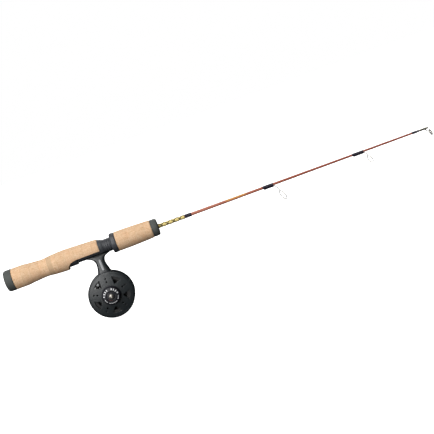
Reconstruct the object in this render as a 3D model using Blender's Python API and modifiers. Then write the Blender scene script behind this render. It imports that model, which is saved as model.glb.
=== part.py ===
"""Ice fishing rod with an inline reel, modelled as the separate pieces that it comes apart into.

Frame: +X runs along the rod from butt to tip, +Z is up and the reel hangs below, at -Z.
The origin is the centre of the butt cap's flat rear face. The crank is on the +Y side.
Every size below is in millimetres, and MM turns it into Blender's metres.
"""
import math

import bmesh
import bpy
from mathutils import Matrix, Vector

MM = 0.001
GAP = 0.3                     # between neighbouring pieces
TRIM_GAP = 0.2                # between the blank and the thread wound on it

# Handle, as positions along the rod and radii
BUTT_CAP_LENGTH = 11.9
BUTT_CAP_RADIUS = 14.75
BUTT_CAP_ROUND = 4.2
REAR_GRIP_END = 134.7
REAR_GRIP_STATIONS = (
    (12.2, 14.7), (29.0, 14.6), (35.5, 13.9), (46.0, 13.0), (57.2, 12.4),
    (68.0, 13.5), (79.0, 14.2), (92.0, 14.3), (108.0, 13.7), (134.7, 12.6))
WINDOW_START = 88.1           # cork cut away below the seat from here to the grip's end
WINDOW_ARC = 14.8             # length of the curved run-out at the window's rear
WINDOW_DEPTH = -11.5
WINDOW_TOP = -2.9
BLANK_BORE = 3.6

# Reel seat
SEAT_START = 80.0
SEAT_RADIUS = 9.5
SEAT_TAPER = (134.9, 11.5, 140.3, 10.2)
THREAD_START = 142.0
THREAD_END = 176.0
THREAD_PITCH = 3.0
THREAD_DEPTH = 0.7
FOOT_TOP = -6.8
FLAT_END = 158.0
REAR_HOOD = (89.5, 101.5, 11.2)
FRONT_HOOD = (152.5, 159.8, 13.75)

# Fore grip, which turns on the seat's thread
FORE_GRIP_START = 160.1
FORE_GRIP_END = 210.7
FORE_GRIP_STATIONS = ((160.1, 13.55), (176.0, 13.5), (193.0, 13.1), (210.7, 12.3))
NUT_END = 186.0
NUT_RADIUS = 11.0
FRONT_CAP_END = 220.1
FRONT_CAP_RADIUS = 11.9

# Blank, thread wraps and line guides
BLANK_START = 5.0
BLANK_STATIONS = (
    (5.0, 3.1), (205.0, 2.75), (221.0, 2.5), (268.0, 2.2), (330.0, 1.95),
    (440.0, 1.55), (520.0, 1.4), (584.0, 1.25), (598.0, 0.8))
BUTT_WRAP = (221.4, 258.2, 3.05, 2.75)
TRIM_WRAP = (258.5, 267.9, 2.85, 2.6)
WRAP_CLEARANCE = 0.3
WRAP_WALL = 0.2
GUIDES = (
    # name, wrap start, wrap end, ring centre X and Z, outer diameter, lean, wire radius
    ("guide_1", 371.7, 385.9, 393.8, -18.2, 14.6, 17.0, 0.55),
    ("guide_2", 501.0, 516.0, 521.6, -13.2, 11.5, 17.0, 0.5))
GUIDE_TWIST = 25.0            # the wire loops stand out of square with the rod
TIP_WRAP = (586.0, 596.3, 1.9)
TIP_TUBE = (596.6, 609.3, 1.35, 1.1)
TIP_RING = (611.2, -6.6, 8.7, 18.0, 0.5)
TIP_TWIST = -25.0
TIP_BRACE = (602.5, 0.4)      # where its two legs leave the tube, and its wire radius

# Reel
REEL_X = 128.6
REEL_Z = -65.0
RIM_RADIUS = 31.9
PLATE_OUTER_FACE = -11.0      # Y of the ported side plate's outer face
PLATE_INNER_FACE = -8.5
RIM_BEVEL = 2.7
OPEN_RING = (7.5, 10.0, 26.8)
PILLAR_RADIUS = 1.6
PILLAR_CIRCLE = 29.4
PILLAR_ANGLES = (18.0, -36.0, -90.0, -144.0, 162.0)
BRIDGE_HALF_ANGLE = 17.0
PORT_COUNT = 5
PORT_OUTER = 25.3
PORT_INNER = 17.6
PORT_HALF_ANGLE = 14.5
PORT_FIRST_ANGLE = 54.0
PIN_HOLE_RADIUS = 1.15
PIN_HOLE_CIRCLES = (19.0, 23.5)
HUB_BASE_RADIUS = 13.3
HUB_TOP_RADIUS = 11.4
SPINDLE_RADIUS = 2.5
SLEEVE_RADIUS = 6.4
SPOOL_RADIUS = 26.3
ARBOR_RADIUS = 22.5
SPOOL_PHASE = 100.0           # angle of the first window in the web
WINDOW_OUTER = 17.2
WINDOW_INNER = 13.5
SPOOL_NEAR = -7.4              # Y of the spool's two faces
SPOOL_FAR = 6.2
SPOOL_WEB = (-1.6, 0.0)
RATCHET_SPAN = (-7.4, -5.4)    # Y of the ratchet wheel and of its pawl
RATCHET_TEETH = 16
RATCHET_TIP = 10.4
RATCHET_ROOT = 8.8
DRAG_FLANGE_RADIUS = 12.0
DRAG_WASHER_RADIUS = 11.0
STAR_SPAN = (8.8, 11.0)
STAR_RADIUS = 12.6
STAR_LOBE = 2.9
CRANK_SPAN = (12.3, 14.5)
CRANK_ANGLE = 132.0
CRANK_END_RADIUS = 4.6
CRANK_EYE_RADIUS = 7.4
KNOB_CIRCLE = 20.5
KNOB_NEAR = 14.8               # Y of each knob's two ends
KNOB_FAR = 29.0
KNOB_BORE = 1.8
PAWL_ANGLE = 200.0
PAWL_CIRCLE = 15.0
PAWL_EYE_RADIUS = 2.2
PAWL_EYE_BORE = 1.3

LARGE = 36                    # facets round the large, medium and small turned pieces
MEDIUM = 24
SMALL = 16

CORK = ((0.76, 0.55, 0.33), 0.85, 0.0)
DARK_RUBBER = ((0.045, 0.05, 0.047), 0.75, 0.0)
BLACK_PLASTIC = ((0.02, 0.021, 0.024), 0.35, 0.0)
GRAPHITE = ((0.05, 0.053, 0.057), 0.45, 0.1)
STEEL = ((0.62, 0.62, 0.6), 0.25, 1.0)
BRASS = ((0.65, 0.48, 0.2), 0.35, 1.0)
COPPER_GLASS = ((0.3, 0.09, 0.035), 0.25, 0.0)
GOLD_THREAD = ((0.55, 0.38, 0.06), 0.4, 0.3)
NAVY_THREAD = ((0.015, 0.016, 0.03), 0.5, 0.0)
WASHER_FIBRE = ((0.08, 0.06, 0.05), 0.8, 0.0)


def start_clean():
    for old in list(bpy.data.objects):
        bpy.data.objects.remove(old, do_unlink=True)
    groups = []
    for name in ("ice_fishing_rod", "cutters"):
        group = bpy.data.collections.new(name)
        bpy.context.scene.collection.children.link(group)
        groups.append(group)
    return groups


PARTS, CUTTERS = start_clean()


def finish_piece(piece, finish):
    """Give a piece its own material and put it among the parts."""
    colour, roughness, metallic = finish
    material = bpy.data.materials.new(piece.name)
    material.use_nodes = True
    shader = material.node_tree.nodes["Principled BSDF"]
    shader.inputs["Base Color"].default_value = (*colour, 1.0)
    shader.inputs["Roughness"].default_value = roughness
    shader.inputs["Metallic"].default_value = metallic
    piece.data.materials.append(material)
    PARTS.objects.link(piece)
    return piece


def as_tool(piece):
    """Keep a shape as a cutter or a building block, out of the finished parts."""
    piece.hide_render = True
    piece.display_type = "WIRE"
    CUTTERS.objects.link(piece)
    return piece


def combine(piece, tool, operation="DIFFERENCE"):
    step = piece.modifiers.new(tool.name, "BOOLEAN")
    step.operation = operation
    step.solver = "EXACT"
    step.object = tool


def turned(name, profile, axis="X", centre=(0.0, 0.0, 0.0), facets=MEDIUM, ring=False):
    """Turn a profile of (position along the axis, radius) about X or Y.

    The profile starts at the far end and runs back down the outer side. A ring's profile
    goes on along its bore and closes on itself.
    """
    mesh = bpy.data.meshes.new(name)
    points = [(radius * MM, 0.0, along * MM) for along, radius in profile]
    edges = [(i, i + 1) for i in range(len(points) - 1)]
    if ring:
        edges.append((len(points) - 1, 0))
    mesh.from_pydata(points, edges, [])
    piece = bpy.data.objects.new(name, mesh)
    screw = piece.modifiers.new("turn", "SCREW")
    screw.axis = "Z"
    screw.steps = facets
    screw.render_steps = facets
    screw.use_merge_vertices = True
    screw.merge_threshold = 0.000001
    piece.location = Vector(centre) * MM
    if axis == "X":
        piece.rotation_euler = (0.0, math.radians(90), 0.0)
    else:
        piece.rotation_euler = (math.radians(-90), 0.0, 0.0)
    return piece


def tube(name, start, end, outer, inner, axis="X", centre=(0.0, 0.0, 0.0), facets=MEDIUM):
    profile = [(end, outer), (start, outer), (start, inner), (end, inner)]
    return turned(name, profile, axis, centre, facets, ring=True)


def box(name, low, high):
    mesh = bpy.data.meshes.new(name)
    cube = bmesh.new()
    bmesh.ops.create_cube(cube, size=1.0)
    size = (Vector(high) - Vector(low)) * MM
    middle = (Vector(high) + Vector(low)) * MM * 0.5
    bmesh.ops.transform(
        cube, matrix=Matrix.Translation(middle) @ Matrix.Diagonal((*size, 1.0)), verts=cube.verts)
    cube.to_mesh(mesh)
    cube.free()
    return bpy.data.objects.new(name, mesh)


def mesh_from_curve(curve_object):
    """Turn a curve object into a closed mesh object of the same name and place."""
    bpy.context.scene.collection.objects.link(curve_object)
    graph = bpy.context.evaluated_depsgraph_get()
    mesh = bpy.data.meshes.new_from_object(curve_object.evaluated_get(graph))
    shape = bmesh.new()
    shape.from_mesh(mesh)
    bmesh.ops.remove_doubles(shape, verts=shape.verts, dist=0.00001)
    bmesh.ops.recalc_face_normals(shape, faces=shape.faces)
    shape.to_mesh(mesh)
    shape.free()
    name = curve_object.name
    place = curve_object.matrix_world.copy()
    curve = curve_object.data
    bpy.data.objects.remove(curve_object, do_unlink=True)
    bpy.data.curves.remove(curve)
    piece = bpy.data.objects.new(name, mesh)
    piece.matrix_world = place
    return piece


def slab(name, outlines, near, far, centre=(0.0, 0.0)):
    """Extrude outlines of (x, z) along Y, from near to far. An outline inside another is a hole."""
    curve = bpy.data.curves.new(name, "CURVE")
    curve.dimensions = "2D"
    curve.fill_mode = "BOTH"
    curve.extrude = (far - near) * MM / 2
    for outline in outlines:
        spline = curve.splines.new("POLY")
        spline.points.add(len(outline) - 1)
        spline.use_cyclic_u = True
        for point, (x, z) in zip(spline.points, outline):
            point.co = (x * MM, z * MM, 0.0, 1.0)
    plate = bpy.data.objects.new(name, curve)
    middle = Vector((centre[0], (near + far) / 2, centre[1])) * MM
    plate.matrix_world = Matrix.Translation(middle) @ Matrix.Rotation(math.radians(90), 4, "X")
    return mesh_from_curve(plate)


def wire(name, points, radius, closed=False):
    """A round wire along a list of points, as a mesh."""
    curve = bpy.data.curves.new(name, "CURVE")
    curve.dimensions = "3D"
    curve.bevel_depth = radius * MM
    curve.bevel_resolution = 2
    curve.use_fill_caps = True
    spline = curve.splines.new("POLY")
    spline.points.add(len(points) - 1)
    spline.use_cyclic_u = closed
    for point, place in zip(spline.points, points):
        point.co = (*(Vector(place) * MM), 1.0)
    return mesh_from_curve(bpy.data.objects.new(name, curve))


def smooth_through(stations, step=6.0):
    """Points along a smooth curve through (position, radius) stations."""
    result = []
    last = len(stations) - 1
    for i in range(last):
        before = stations[max(i - 1, 0)]
        start = stations[i]
        end = stations[i + 1]
        after = stations[min(i + 2, last)]
        length = end[0] - start[0]
        slope_in = (end[1] - before[1]) / (end[0] - before[0])
        slope_out = (after[1] - start[1]) / (after[0] - start[0])
        count = max(1, round(length / step))
        for k in range(count):
            t = k / count
            radius = ((1 + 2 * t) * (1 - t) ** 2 * start[1] + t * (1 - t) ** 2 * length * slope_in
                      + t * t * (3 - 2 * t) * end[1] - t * t * (1 - t) * length * slope_out)
            result.append((start[0] + t * length, radius))
    result.append(stations[-1])
    return result


def arc(radius, start, end, count, centre=(0.0, 0.0)):
    """Points on an arc, with angles in degrees."""
    angles = [math.radians(start + (end - start) * i / (count - 1)) for i in range(count)]
    return [(centre[0] + radius * math.cos(a), centre[1] + radius * math.sin(a)) for a in angles]


def circle(radius, count, centre=(0.0, 0.0)):
    return arc(radius, 0.0, 360.0, count + 1, centre)[:-1]


def spun(outline, angle):
    """Turn an outline about the origin by an angle in degrees."""
    c = math.cos(math.radians(angle))
    s = math.sin(math.radians(angle))
    return [(x * c - z * s, x * s + z * c) for x, z in outline]


def hang_on(name, origin, pieces):
    """Parent pieces to an empty whose origin lies on their joint's axis."""
    pivot = bpy.data.objects.new(name, None)
    pivot.location = Vector(origin) * MM
    PARTS.objects.link(pivot)
    bpy.context.view_layer.update()
    for piece in pieces:
        piece.parent = pivot
        piece.matrix_parent_inverse = pivot.matrix_world.inverted()
    return pivot


def blank_radius(x):
    for (x0, r0), (x1, r1) in zip(BLANK_STATIONS, BLANK_STATIONS[1:]):
        if x <= x1:
            return r0 + (r1 - r0) * (x - x0) / (x1 - x0)
    return BLANK_STATIONS[-1][1]


# ---- Handle -------------------------------------------------------------------------------

def make_butt_cap():
    corner = arc(BUTT_CAP_ROUND, 90.0, 180.0, 5,
                 (BUTT_CAP_ROUND, BUTT_CAP_RADIUS - BUTT_CAP_ROUND))
    pocket = BLANK_STATIONS[0][1] + GAP
    profile = [(BUTT_CAP_LENGTH, pocket), (BUTT_CAP_LENGTH, BUTT_CAP_RADIUS)]
    profile += corner
    profile += [(0.0, 0.0), (BLANK_START - GAP, 0.0), (BLANK_START - GAP, pocket)]
    finish_piece(turned("butt_cap", profile, facets=LARGE, ring=True), DARK_RUBBER)


def make_rear_grip():
    outside = list(reversed(smooth_through(REAR_GRIP_STATIONS)))
    start = REAR_GRIP_STATIONS[0][0]
    bore = SEAT_RADIUS + GAP
    hood_start, hood_end, hood_radius = REAR_HOOD
    inside = [(start, BLANK_BORE), (SEAT_START - GAP, BLANK_BORE), (SEAT_START - GAP, bore),
              (hood_start - GAP, bore), (hood_start - GAP, hood_radius + GAP),
              (hood_end + GAP, hood_radius + GAP), (hood_end + GAP, bore), (REAR_GRIP_END, bore)]
    grip = turned("rear_grip", outside + inside, facets=LARGE, ring=True)
    rise = WINDOW_TOP - WINDOW_DEPTH
    run_out = []
    for i in range(9):
        a = math.radians(90.0 * i / 8)
        run_out.append((WINDOW_START + WINDOW_ARC * (1 - math.cos(a)),
                        WINDOW_DEPTH + rise * math.sin(a)))
    outline = run_out + [(REAR_GRIP_END + 5.0, WINDOW_TOP), (REAR_GRIP_END + 5.0, -20.0),
                         (WINDOW_START, -20.0)]
    combine(grip, as_tool(slab("window_cutter", [outline], -20.0, 20.0)))
    finish_piece(grip, CORK)


def make_seat_body():
    x0, r0, x1, r1 = SEAT_TAPER
    profile = []
    ridge = THREAD_END
    while ridge > THREAD_START + THREAD_PITCH:
        profile += [(ridge, SEAT_RADIUS - THREAD_DEPTH),
                    (ridge - 0.5 * THREAD_PITCH, SEAT_RADIUS)]
        ridge -= THREAD_PITCH
    profile += [(THREAD_START, SEAT_RADIUS - THREAD_DEPTH), (x1, SEAT_RADIUS), (x1, r1), (x0, r0),
                (x0, SEAT_RADIUS), (SEAT_START, SEAT_RADIUS),
                (SEAT_START, BLANK_BORE), (THREAD_END, BLANK_BORE)]
    seat = turned("seat_body", profile, facets=LARGE, ring=True)
    flat = box("seat_flat_cutter", (REAR_HOOD[0] - 1.0, -20.0, -20.0),
               (FLAT_END, 20.0, FOOT_TOP + GAP))
    combine(seat, as_tool(flat))
    finish_piece(seat, BLACK_PLASTIC)


def make_hood(name, start, end, radius):
    edge = 0.8
    bore = SEAT_RADIUS + GAP
    profile = [(end, radius - edge), (end - edge, radius), (start + edge, radius),
               (start, radius - edge), (start, bore), (end, bore)]
    return finish_piece(turned(name, profile, facets=LARGE, ring=True), BLACK_PLASTIC)


def make_fore_grip():
    nut_bore = SEAT_RADIUS + GAP
    nut = tube("foregrip_nut", FORE_GRIP_START, NUT_END, NUT_RADIUS, nut_bore)
    finish_piece(nut, BLACK_PLASTIC)
    outside = list(reversed(smooth_through(FORE_GRIP_STATIONS)))
    pocket = NUT_RADIUS + GAP
    inside = [(FORE_GRIP_START, pocket), (NUT_END + GAP, pocket),
              (NUT_END + GAP, BLANK_BORE), (FORE_GRIP_END, BLANK_BORE)]
    cork = finish_piece(turned("fore_grip", outside + inside, facets=LARGE, ring=True), CORK)
    round_off = 2.2
    corner = arc(round_off, 0.0, 90.0, 5, (FRONT_CAP_END - round_off, FRONT_CAP_RADIUS - round_off))
    start = FORE_GRIP_END + GAP
    profile = corner + [(start, FRONT_CAP_RADIUS), (start, BLANK_BORE), (FRONT_CAP_END, BLANK_BORE)]
    cap = finish_piece(turned("front_cap", profile, facets=LARGE, ring=True), DARK_RUBBER)
    return [nut, cork, cap]


# ---- Blank, wraps and guides ----------------------------------------------------------------

def make_blank():
    profile = [(BLANK_STATIONS[-1][0], 0.0)]
    profile += list(reversed(BLANK_STATIONS))
    profile += [(BLANK_STATIONS[0][0], 0.0)]
    finish_piece(turned("rod_blank", profile, facets=SMALL), COPPER_GLASS)


def make_handle_wraps():
    for name, wrap, finish in (("butt_wrap", BUTT_WRAP, GOLD_THREAD),
                               ("trim_wrap", TRIM_WRAP, NAVY_THREAD)):
        start, end, first, last = wrap
        profile = [(end, last), (start, first), (start, blank_radius(start) + TRIM_GAP),
                   (end, blank_radius(end) + TRIM_GAP)]
        finish_piece(turned(name, profile, facets=SMALL, ring=True), finish)


def make_guide(name, wrap_start, wrap_end, ring_x, ring_z, diameter, lean, wire_radius):
    """A single-foot guide: a foot under its thread wrap, a bent leg and a wire ring."""
    rod = blank_radius(wrap_start)
    foot_z = -(rod + TRIM_GAP + wire_radius)
    tilt = math.radians(lean)
    ring_radius = diameter / 2 - wire_radius
    reach = ring_radius + 2 * wire_radius + 0.1
    top = Vector((ring_x - reach * math.sin(tilt), 0.0, ring_z + reach * math.cos(tilt)))
    foot_start = Vector((wrap_start + 1.5, 0.0, foot_z))
    foot_end = Vector((wrap_end + 1.0, 0.0, foot_z))
    bend = Vector((wrap_end + 3.0, 0.0, foot_z - 1.2))
    leg = []
    for i in range(9):
        t = i / 8
        leg.append(foot_end * (1 - t) ** 2 + bend * 2 * t * (1 - t) + top * t * t)
    frame = wire(name + "_frame", [foot_start] + leg, wire_radius)
    finish_piece(frame, STEEL)

    ring_place = (Matrix.Translation(Vector((ring_x, 0.0, ring_z)))
                  @ Matrix.Rotation(math.radians(GUIDE_TWIST), 4, "Z")
                  @ Matrix.Rotation(-tilt, 4, "Y"))
    loop = [ring_place @ Vector((0.0, y, z)) for y, z in circle(ring_radius, 32)]
    finish_piece(wire(name + "_ring", loop, wire_radius, closed=True), STEEL)

    inner = rod + wire_radius + WRAP_CLEARANCE
    wrap = tube(name + "_wrap", wrap_start, wrap_end, inner + WRAP_WALL, inner,
                centre=(0.0, 0.0, -wire_radius), facets=MEDIUM)
    finish_piece(wrap, NAVY_THREAD)


def make_tip_top():
    wrap_start, wrap_end, wrap_radius = TIP_WRAP
    profile = [(wrap_end, wrap_radius), (wrap_start, wrap_radius - 0.1),
               (wrap_start, blank_radius(wrap_start) + TRIM_GAP),
               (wrap_end, blank_radius(wrap_end) + TRIM_GAP)]
    finish_piece(turned("tip_wrap", profile, facets=SMALL, ring=True), NAVY_THREAD)

    start, end, outer, inner = TIP_TUBE
    edge = 0.4
    profile = [(end, 0.0), (end, outer - edge), (end - edge, outer), (start, outer), (start, inner),
               (BLANK_STATIONS[-1][0] + GAP, inner), (BLANK_STATIONS[-1][0] + GAP, 0.0)]
    finish_piece(turned("tip_tube", profile, facets=SMALL), BRASS)

    ring_x, ring_z, diameter, lean, wire_radius = TIP_RING
    ring_radius = diameter / 2 - wire_radius
    ring_place = (Matrix.Translation(Vector((ring_x, 0.0, ring_z)))
                  @ Matrix.Rotation(math.radians(TIP_TWIST), 4, "Z")
                  @ Matrix.Rotation(-math.radians(lean), 4, "Y"))
    loop = [ring_place @ Vector((0.0, y, z)) for y, z in circle(ring_radius, 28)]
    finish_piece(wire("tip_ring", loop, wire_radius, closed=True), STEEL)

    root_x, brace_radius = TIP_BRACE
    hold = ring_radius + wire_radius + brace_radius + 0.15
    root = Vector((root_x, outer + brace_radius + 0.15, 0.0))
    leg = [root + Vector((-2.5, 0.0, 0.0)), root]
    other_leg = [Vector((p.x, -p.y, p.z)) for p in reversed(leg)]
    cradle = []
    for angle in range(10, -191, -20):
        a = math.radians(angle)
        cradle.append(ring_place @ Vector((-0.9, hold * math.cos(a), hold * math.sin(a))))
    finish_piece(wire("tip_brace", leg + cradle + other_leg, brace_radius), STEEL)


# ---- Reel -----------------------------------------------------------------------------------

REEL_CENTRE = (REEL_X, 0.0, REEL_Z)
REEL_PLANE = (REEL_X, REEL_Z)


def reel_turned(name, profile, facets=MEDIUM, ring=False):
    return turned(name, profile, "Y", REEL_CENTRE, facets, ring)


def reel_tube(name, start, end, outer, inner, facets=MEDIUM):
    return tube(name, start, end, outer, inner, "Y", REEL_CENTRE, facets)


def make_foot():
    """The foot fills out the seat's round where the flat is cut away."""
    profile = [(156.0, 0.0), (156.0, 8.6), (149.0, SEAT_RADIUS), (99.0, SEAT_RADIUS),
               (92.3, 8.6), (92.3, 0.0)]
    foot = turned("foot_shape", profile, facets=LARGE)
    above = box("foot_cutter", (80.0, -20.0, FOOT_TOP), (170.0, 20.0, 20.0))
    combine(foot, as_tool(above))
    return as_tool(foot)


def make_stem():
    """A loft of rounded oblongs from the foot down to the cage's bridge."""
    sections = (
        # height, rear edge, front edge, half depth
        (-8.6, 112.0, 148.0, 3.0), (-9.9, 114.0, 145.5, 3.6), (-11.8, 118.4, 140.3, 4.2),
        (-14.2, 121.3, 137.6, 4.8), (-17.4, 122.8, 136.3, 5.2), (-20.8, 123.2, 136.1, 5.6),
        (-25.0, 122.7, 136.8, 6.2), (-30.0, 121.5, 138.2, 7.0), (-35.5, 119.6, 140.0, 7.8))
    around = 20
    power = 0.55
    shape = bmesh.new()
    rings = []
    for height, rear, front, depth in sections:
        ring = []
        for i in range(around):
            a = 2 * math.pi * i / around
            c = math.cos(a)
            s = math.sin(a)
            x = (rear + front) / 2 + (front - rear) / 2 * math.copysign(abs(c) ** power, c)
            y = depth * math.copysign(abs(s) ** power, s)
            ring.append(shape.verts.new((x * MM, y * MM, height * MM)))
        rings.append(ring)
    for upper, lower in zip(rings, rings[1:]):
        for i in range(around):
            k = (i + 1) % around
            shape.faces.new((upper[i], upper[k], lower[k], lower[i]))
    shape.faces.new(rings[0])
    shape.faces.new(rings[-1])
    bmesh.ops.recalc_face_normals(shape, faces=shape.faces)
    mesh = bpy.data.meshes.new("stem_shape")
    shape.to_mesh(mesh)
    shape.free()
    return as_tool(bpy.data.objects.new("stem_shape", mesh))


def port_outline():
    outer = arc(PORT_OUTER, -PORT_HALF_ANGLE, PORT_HALF_ANGLE, 7)
    apex = arc(1.5, 120.0, 240.0, 4, (PORT_INNER + 1.5, 0.0))
    return outer + apex


def make_reel_frame():
    chamfer = 1.0
    plate_profile = [(PLATE_INNER_FACE, 3.3), (PLATE_INNER_FACE, RIM_RADIUS),
                     (PLATE_OUTER_FACE + chamfer, RIM_RADIUS),
                     (PLATE_OUTER_FACE, RIM_RADIUS - RIM_BEVEL), (PLATE_OUTER_FACE, 3.3)]
    frame = reel_turned("reel_frame", plate_profile, facets=LARGE, ring=True)

    ring_start, ring_end, ring_bore = OPEN_RING
    combine(frame, as_tool(reel_tube("open_ring", ring_start, ring_end, RIM_RADIUS, ring_bore,
                                     facets=LARGE)), "UNION")
    for number, angle in enumerate(PILLAR_ANGLES):
        spot = arc(PILLAR_CIRCLE, angle, angle + 1.0, 2)[0]
        pillar = turned("pillar_%d" % (number + 1),
                        [(8.5, 0.0), (8.5, PILLAR_RADIUS), (-9.5, PILLAR_RADIUS), (-9.5, 0.0)],
                        "Y", (REEL_X + spot[0], 0.0, REEL_Z + spot[1]), 12)
        combine(frame, as_tool(pillar), "UNION")
    bridge = (arc(RIM_RADIUS - 0.1, 90.0 - BRIDGE_HALF_ANGLE, 90.0 + BRIDGE_HALF_ANGLE, 9)
              + arc(OPEN_RING[2] + 0.2, 90.0 + BRIDGE_HALF_ANGLE, 90.0 - BRIDGE_HALF_ANGLE, 9))
    combine(frame, as_tool(slab("bridge", [bridge], -9.5, 8.5, REEL_PLANE)), "UNION")
    combine(frame, make_stem(), "UNION")
    combine(frame, make_foot(), "UNION")

    ports = [spun(port_outline(), PORT_FIRST_ANGLE + 360.0 * i / PORT_COUNT)
             for i in range(PORT_COUNT)]
    for i in range(PORT_COUNT):
        for radius in PIN_HOLE_CIRCLES:
            hole = circle(PIN_HOLE_RADIUS, 10, (radius, 0.0))
            ports.append(spun(hole, PORT_FIRST_ANGLE + 360.0 * (i + 0.5) / PORT_COUNT))
    combine(frame, as_tool(slab("port_cutter", ports, -13.0, -8.0, REEL_PLANE)))
    finish_piece(frame, GRAPHITE)


def make_hub():
    top = PLATE_OUTER_FACE - GAP
    cover = [(top, HUB_BASE_RADIUS - 1.6), (top, HUB_BASE_RADIUS), (top - 1.2, HUB_BASE_RADIUS),
             (top - 5.6, HUB_TOP_RADIUS + 0.5), (top - 6.4, HUB_TOP_RADIUS),
             (top - 7.8, 7.2), (top - 6.2, 6.3), (top - 6.2, 5.0), (top - 8.6, 4.6),
             (top - 8.6, 1.9), (top - 6.9, 1.9), (top - 5.2, 1.9), (top - 5.2, 10.6)]
    finish_piece(reel_turned("hub_cover", cover, facets=LARGE, ring=True), BLACK_PLASTIC)

    head = top - 8.6 - GAP
    dome = [(head - 2.6 * math.sin(math.radians(a)), 3.5 * math.cos(math.radians(a)))
            for a in (0, 22, 45, 67, 90)]
    screw = [(-12.6, 0.0), (-12.6, 1.5), (head, 1.5)] + dome
    finish_piece(reel_turned("hub_screw", screw, facets=SMALL), STEEL)

    spindle = [(15.0, 0.0), (15.0, SPINDLE_RADIUS), (-7.9, SPINDLE_RADIUS),
               (-7.9, 5.6), (-8.2, 5.6), (-8.2, 3.0), (-15.9, 3.0), (-15.9, 1.8),
               (-12.2, 1.8), (-12.2, 0.0)]
    finish_piece(reel_turned("spindle", spindle, facets=SMALL), STEEL)


def make_drive():
    """The sleeve that the crank turns, its bearings, the ratchet and the drag washers."""
    outer = SLEEVE_RADIUS
    flange = DRAG_FLANGE_RADIUS
    sleeve = [(15.6, 5.0), (12.0, 5.0), (12.0, outer), (-3.0, outer), (-3.0, flange), (-4.5, flange),
              (-4.5, outer), (-7.6, outer), (-7.6, 5.3), (-5.0, 5.3), (-5.0, 3.0), (8.7, 3.0),
              (8.7, 4.2), (15.6, 4.2)]
    pieces = [finish_piece(reel_turned("drive_sleeve", sleeve, ring=True), BRASS)]
    inner_bearing = reel_tube("inner_bearing", -7.5, -5.3, 5.0, SPINDLE_RADIUS + GAP, SMALL)
    finish_piece(inner_bearing, STEEL)
    outer_bearing = reel_tube("outer_bearing", 9.0, 11.6, 3.9, SPINDLE_RADIUS + GAP, SMALL)
    finish_piece(outer_bearing, STEEL)

    tooth_middle = (RATCHET_TIP + RATCHET_ROOT) / 2
    outline = []
    for i in range(RATCHET_TEETH):
        start = 360.0 * i / RATCHET_TEETH
        outline += spun([(RATCHET_TIP, 0.0), (RATCHET_ROOT, 0.0)], start)
        outline += spun([(tooth_middle, 0.0)], start + 180.0 / RATCHET_TEETH)
    outlines = [outline, circle(outer + GAP, SMALL)]
    pieces.append(finish_piece(slab("ratchet_wheel", outlines, *RATCHET_SPAN, REEL_PLANE), STEEL))

    inner_washer = reel_tube("inner_drag_washer", -2.7, -1.9, DRAG_WASHER_RADIUS, outer + GAP)
    pieces.append(finish_piece(inner_washer, WASHER_FIBRE))
    outer_washer = reel_tube("outer_drag_washer", 6.5, 7.3, DRAG_WASHER_RADIUS, outer + GAP)
    pieces.append(finish_piece(outer_washer, WASHER_FIBRE))
    keyed_washer = reel_tube("keyed_washer", 7.6, 8.4, DRAG_WASHER_RADIUS, outer + GAP)
    pieces.append(finish_piece(keyed_washer, STEEL))
    return pieces


def make_pawl():
    """The anti-reverse dog, with its nose beside the ratchet, and its pin on the side plate."""
    spot = arc(PAWL_CIRCLE, PAWL_ANGLE, PAWL_ANGLE + 1.0, 2)[0]
    place = (REEL_X + spot[0], 0.0, REEL_Z + spot[1])
    eye = arc(PAWL_EYE_RADIUS, 40.0, 320.0, 13)
    nose = [(6.2, -0.9), (6.6, 0.9)]
    outline = spun(eye + nose, PAWL_ANGLE - 226.0)
    hole = circle(PAWL_EYE_BORE, 12)
    pawl = slab("anti_reverse_pawl", [outline, hole], *RATCHET_SPAN, (place[0], place[2]))
    finish_piece(pawl, STEEL)
    pin = [(-4.6, 0.0), (-4.6, 1.8), (-5.1, 1.8), (-5.1, PAWL_EYE_BORE - GAP),
           (-8.2, PAWL_EYE_BORE - GAP), (-8.2, 0.0)]
    finish_piece(turned("pawl_pin", pin, "Y", place, 12), STEEL)
    return pawl, place


def make_spool():
    near = SPOOL_NEAR
    far = SPOOL_FAR
    web_near, web_far = SPOOL_WEB
    flange = 1.1
    hub = 9.2
    bore = SLEEVE_RADIUS + GAP
    arbor_bore = ARBOR_RADIUS - 1.3
    profile = [(far, SPOOL_RADIUS), (far - flange, SPOOL_RADIUS), (far - flange, ARBOR_RADIUS),
               (near + flange, ARBOR_RADIUS), (near + flange, SPOOL_RADIUS), (near, SPOOL_RADIUS),
               (near, arbor_bore), (web_near, arbor_bore), (web_near, bore), (far, bore),
               (far, hub), (web_far, hub), (web_far, arbor_bore), (far, arbor_bore)]
    spool = reel_turned("spool", profile, facets=LARGE, ring=True)
    window = arc(WINDOW_OUTER, -26.0, 26.0, 9) + arc(WINDOW_INNER, 20.0, -20.0, 6)
    windows = [spun(window, SPOOL_PHASE + 72.0 * i) for i in range(5)]
    combine(spool, as_tool(slab("spool_cutter", windows, -3.0, 2.0, REEL_PLANE)))
    return finish_piece(spool, GRAPHITE)


def make_drag_star():
    lobes = 5
    outline = []
    for i in range(60):
        a = 2 * math.pi * i / 60
        radius = STAR_RADIUS + STAR_LOBE * math.cos(lobes * a)
        outline.append((radius * math.cos(a), radius * math.sin(a)))
    hole = circle(SLEEVE_RADIUS + GAP, MEDIUM)
    return finish_piece(slab("drag_star", [outline, hole], *STAR_SPAN, REEL_PLANE), GRAPHITE)


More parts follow.
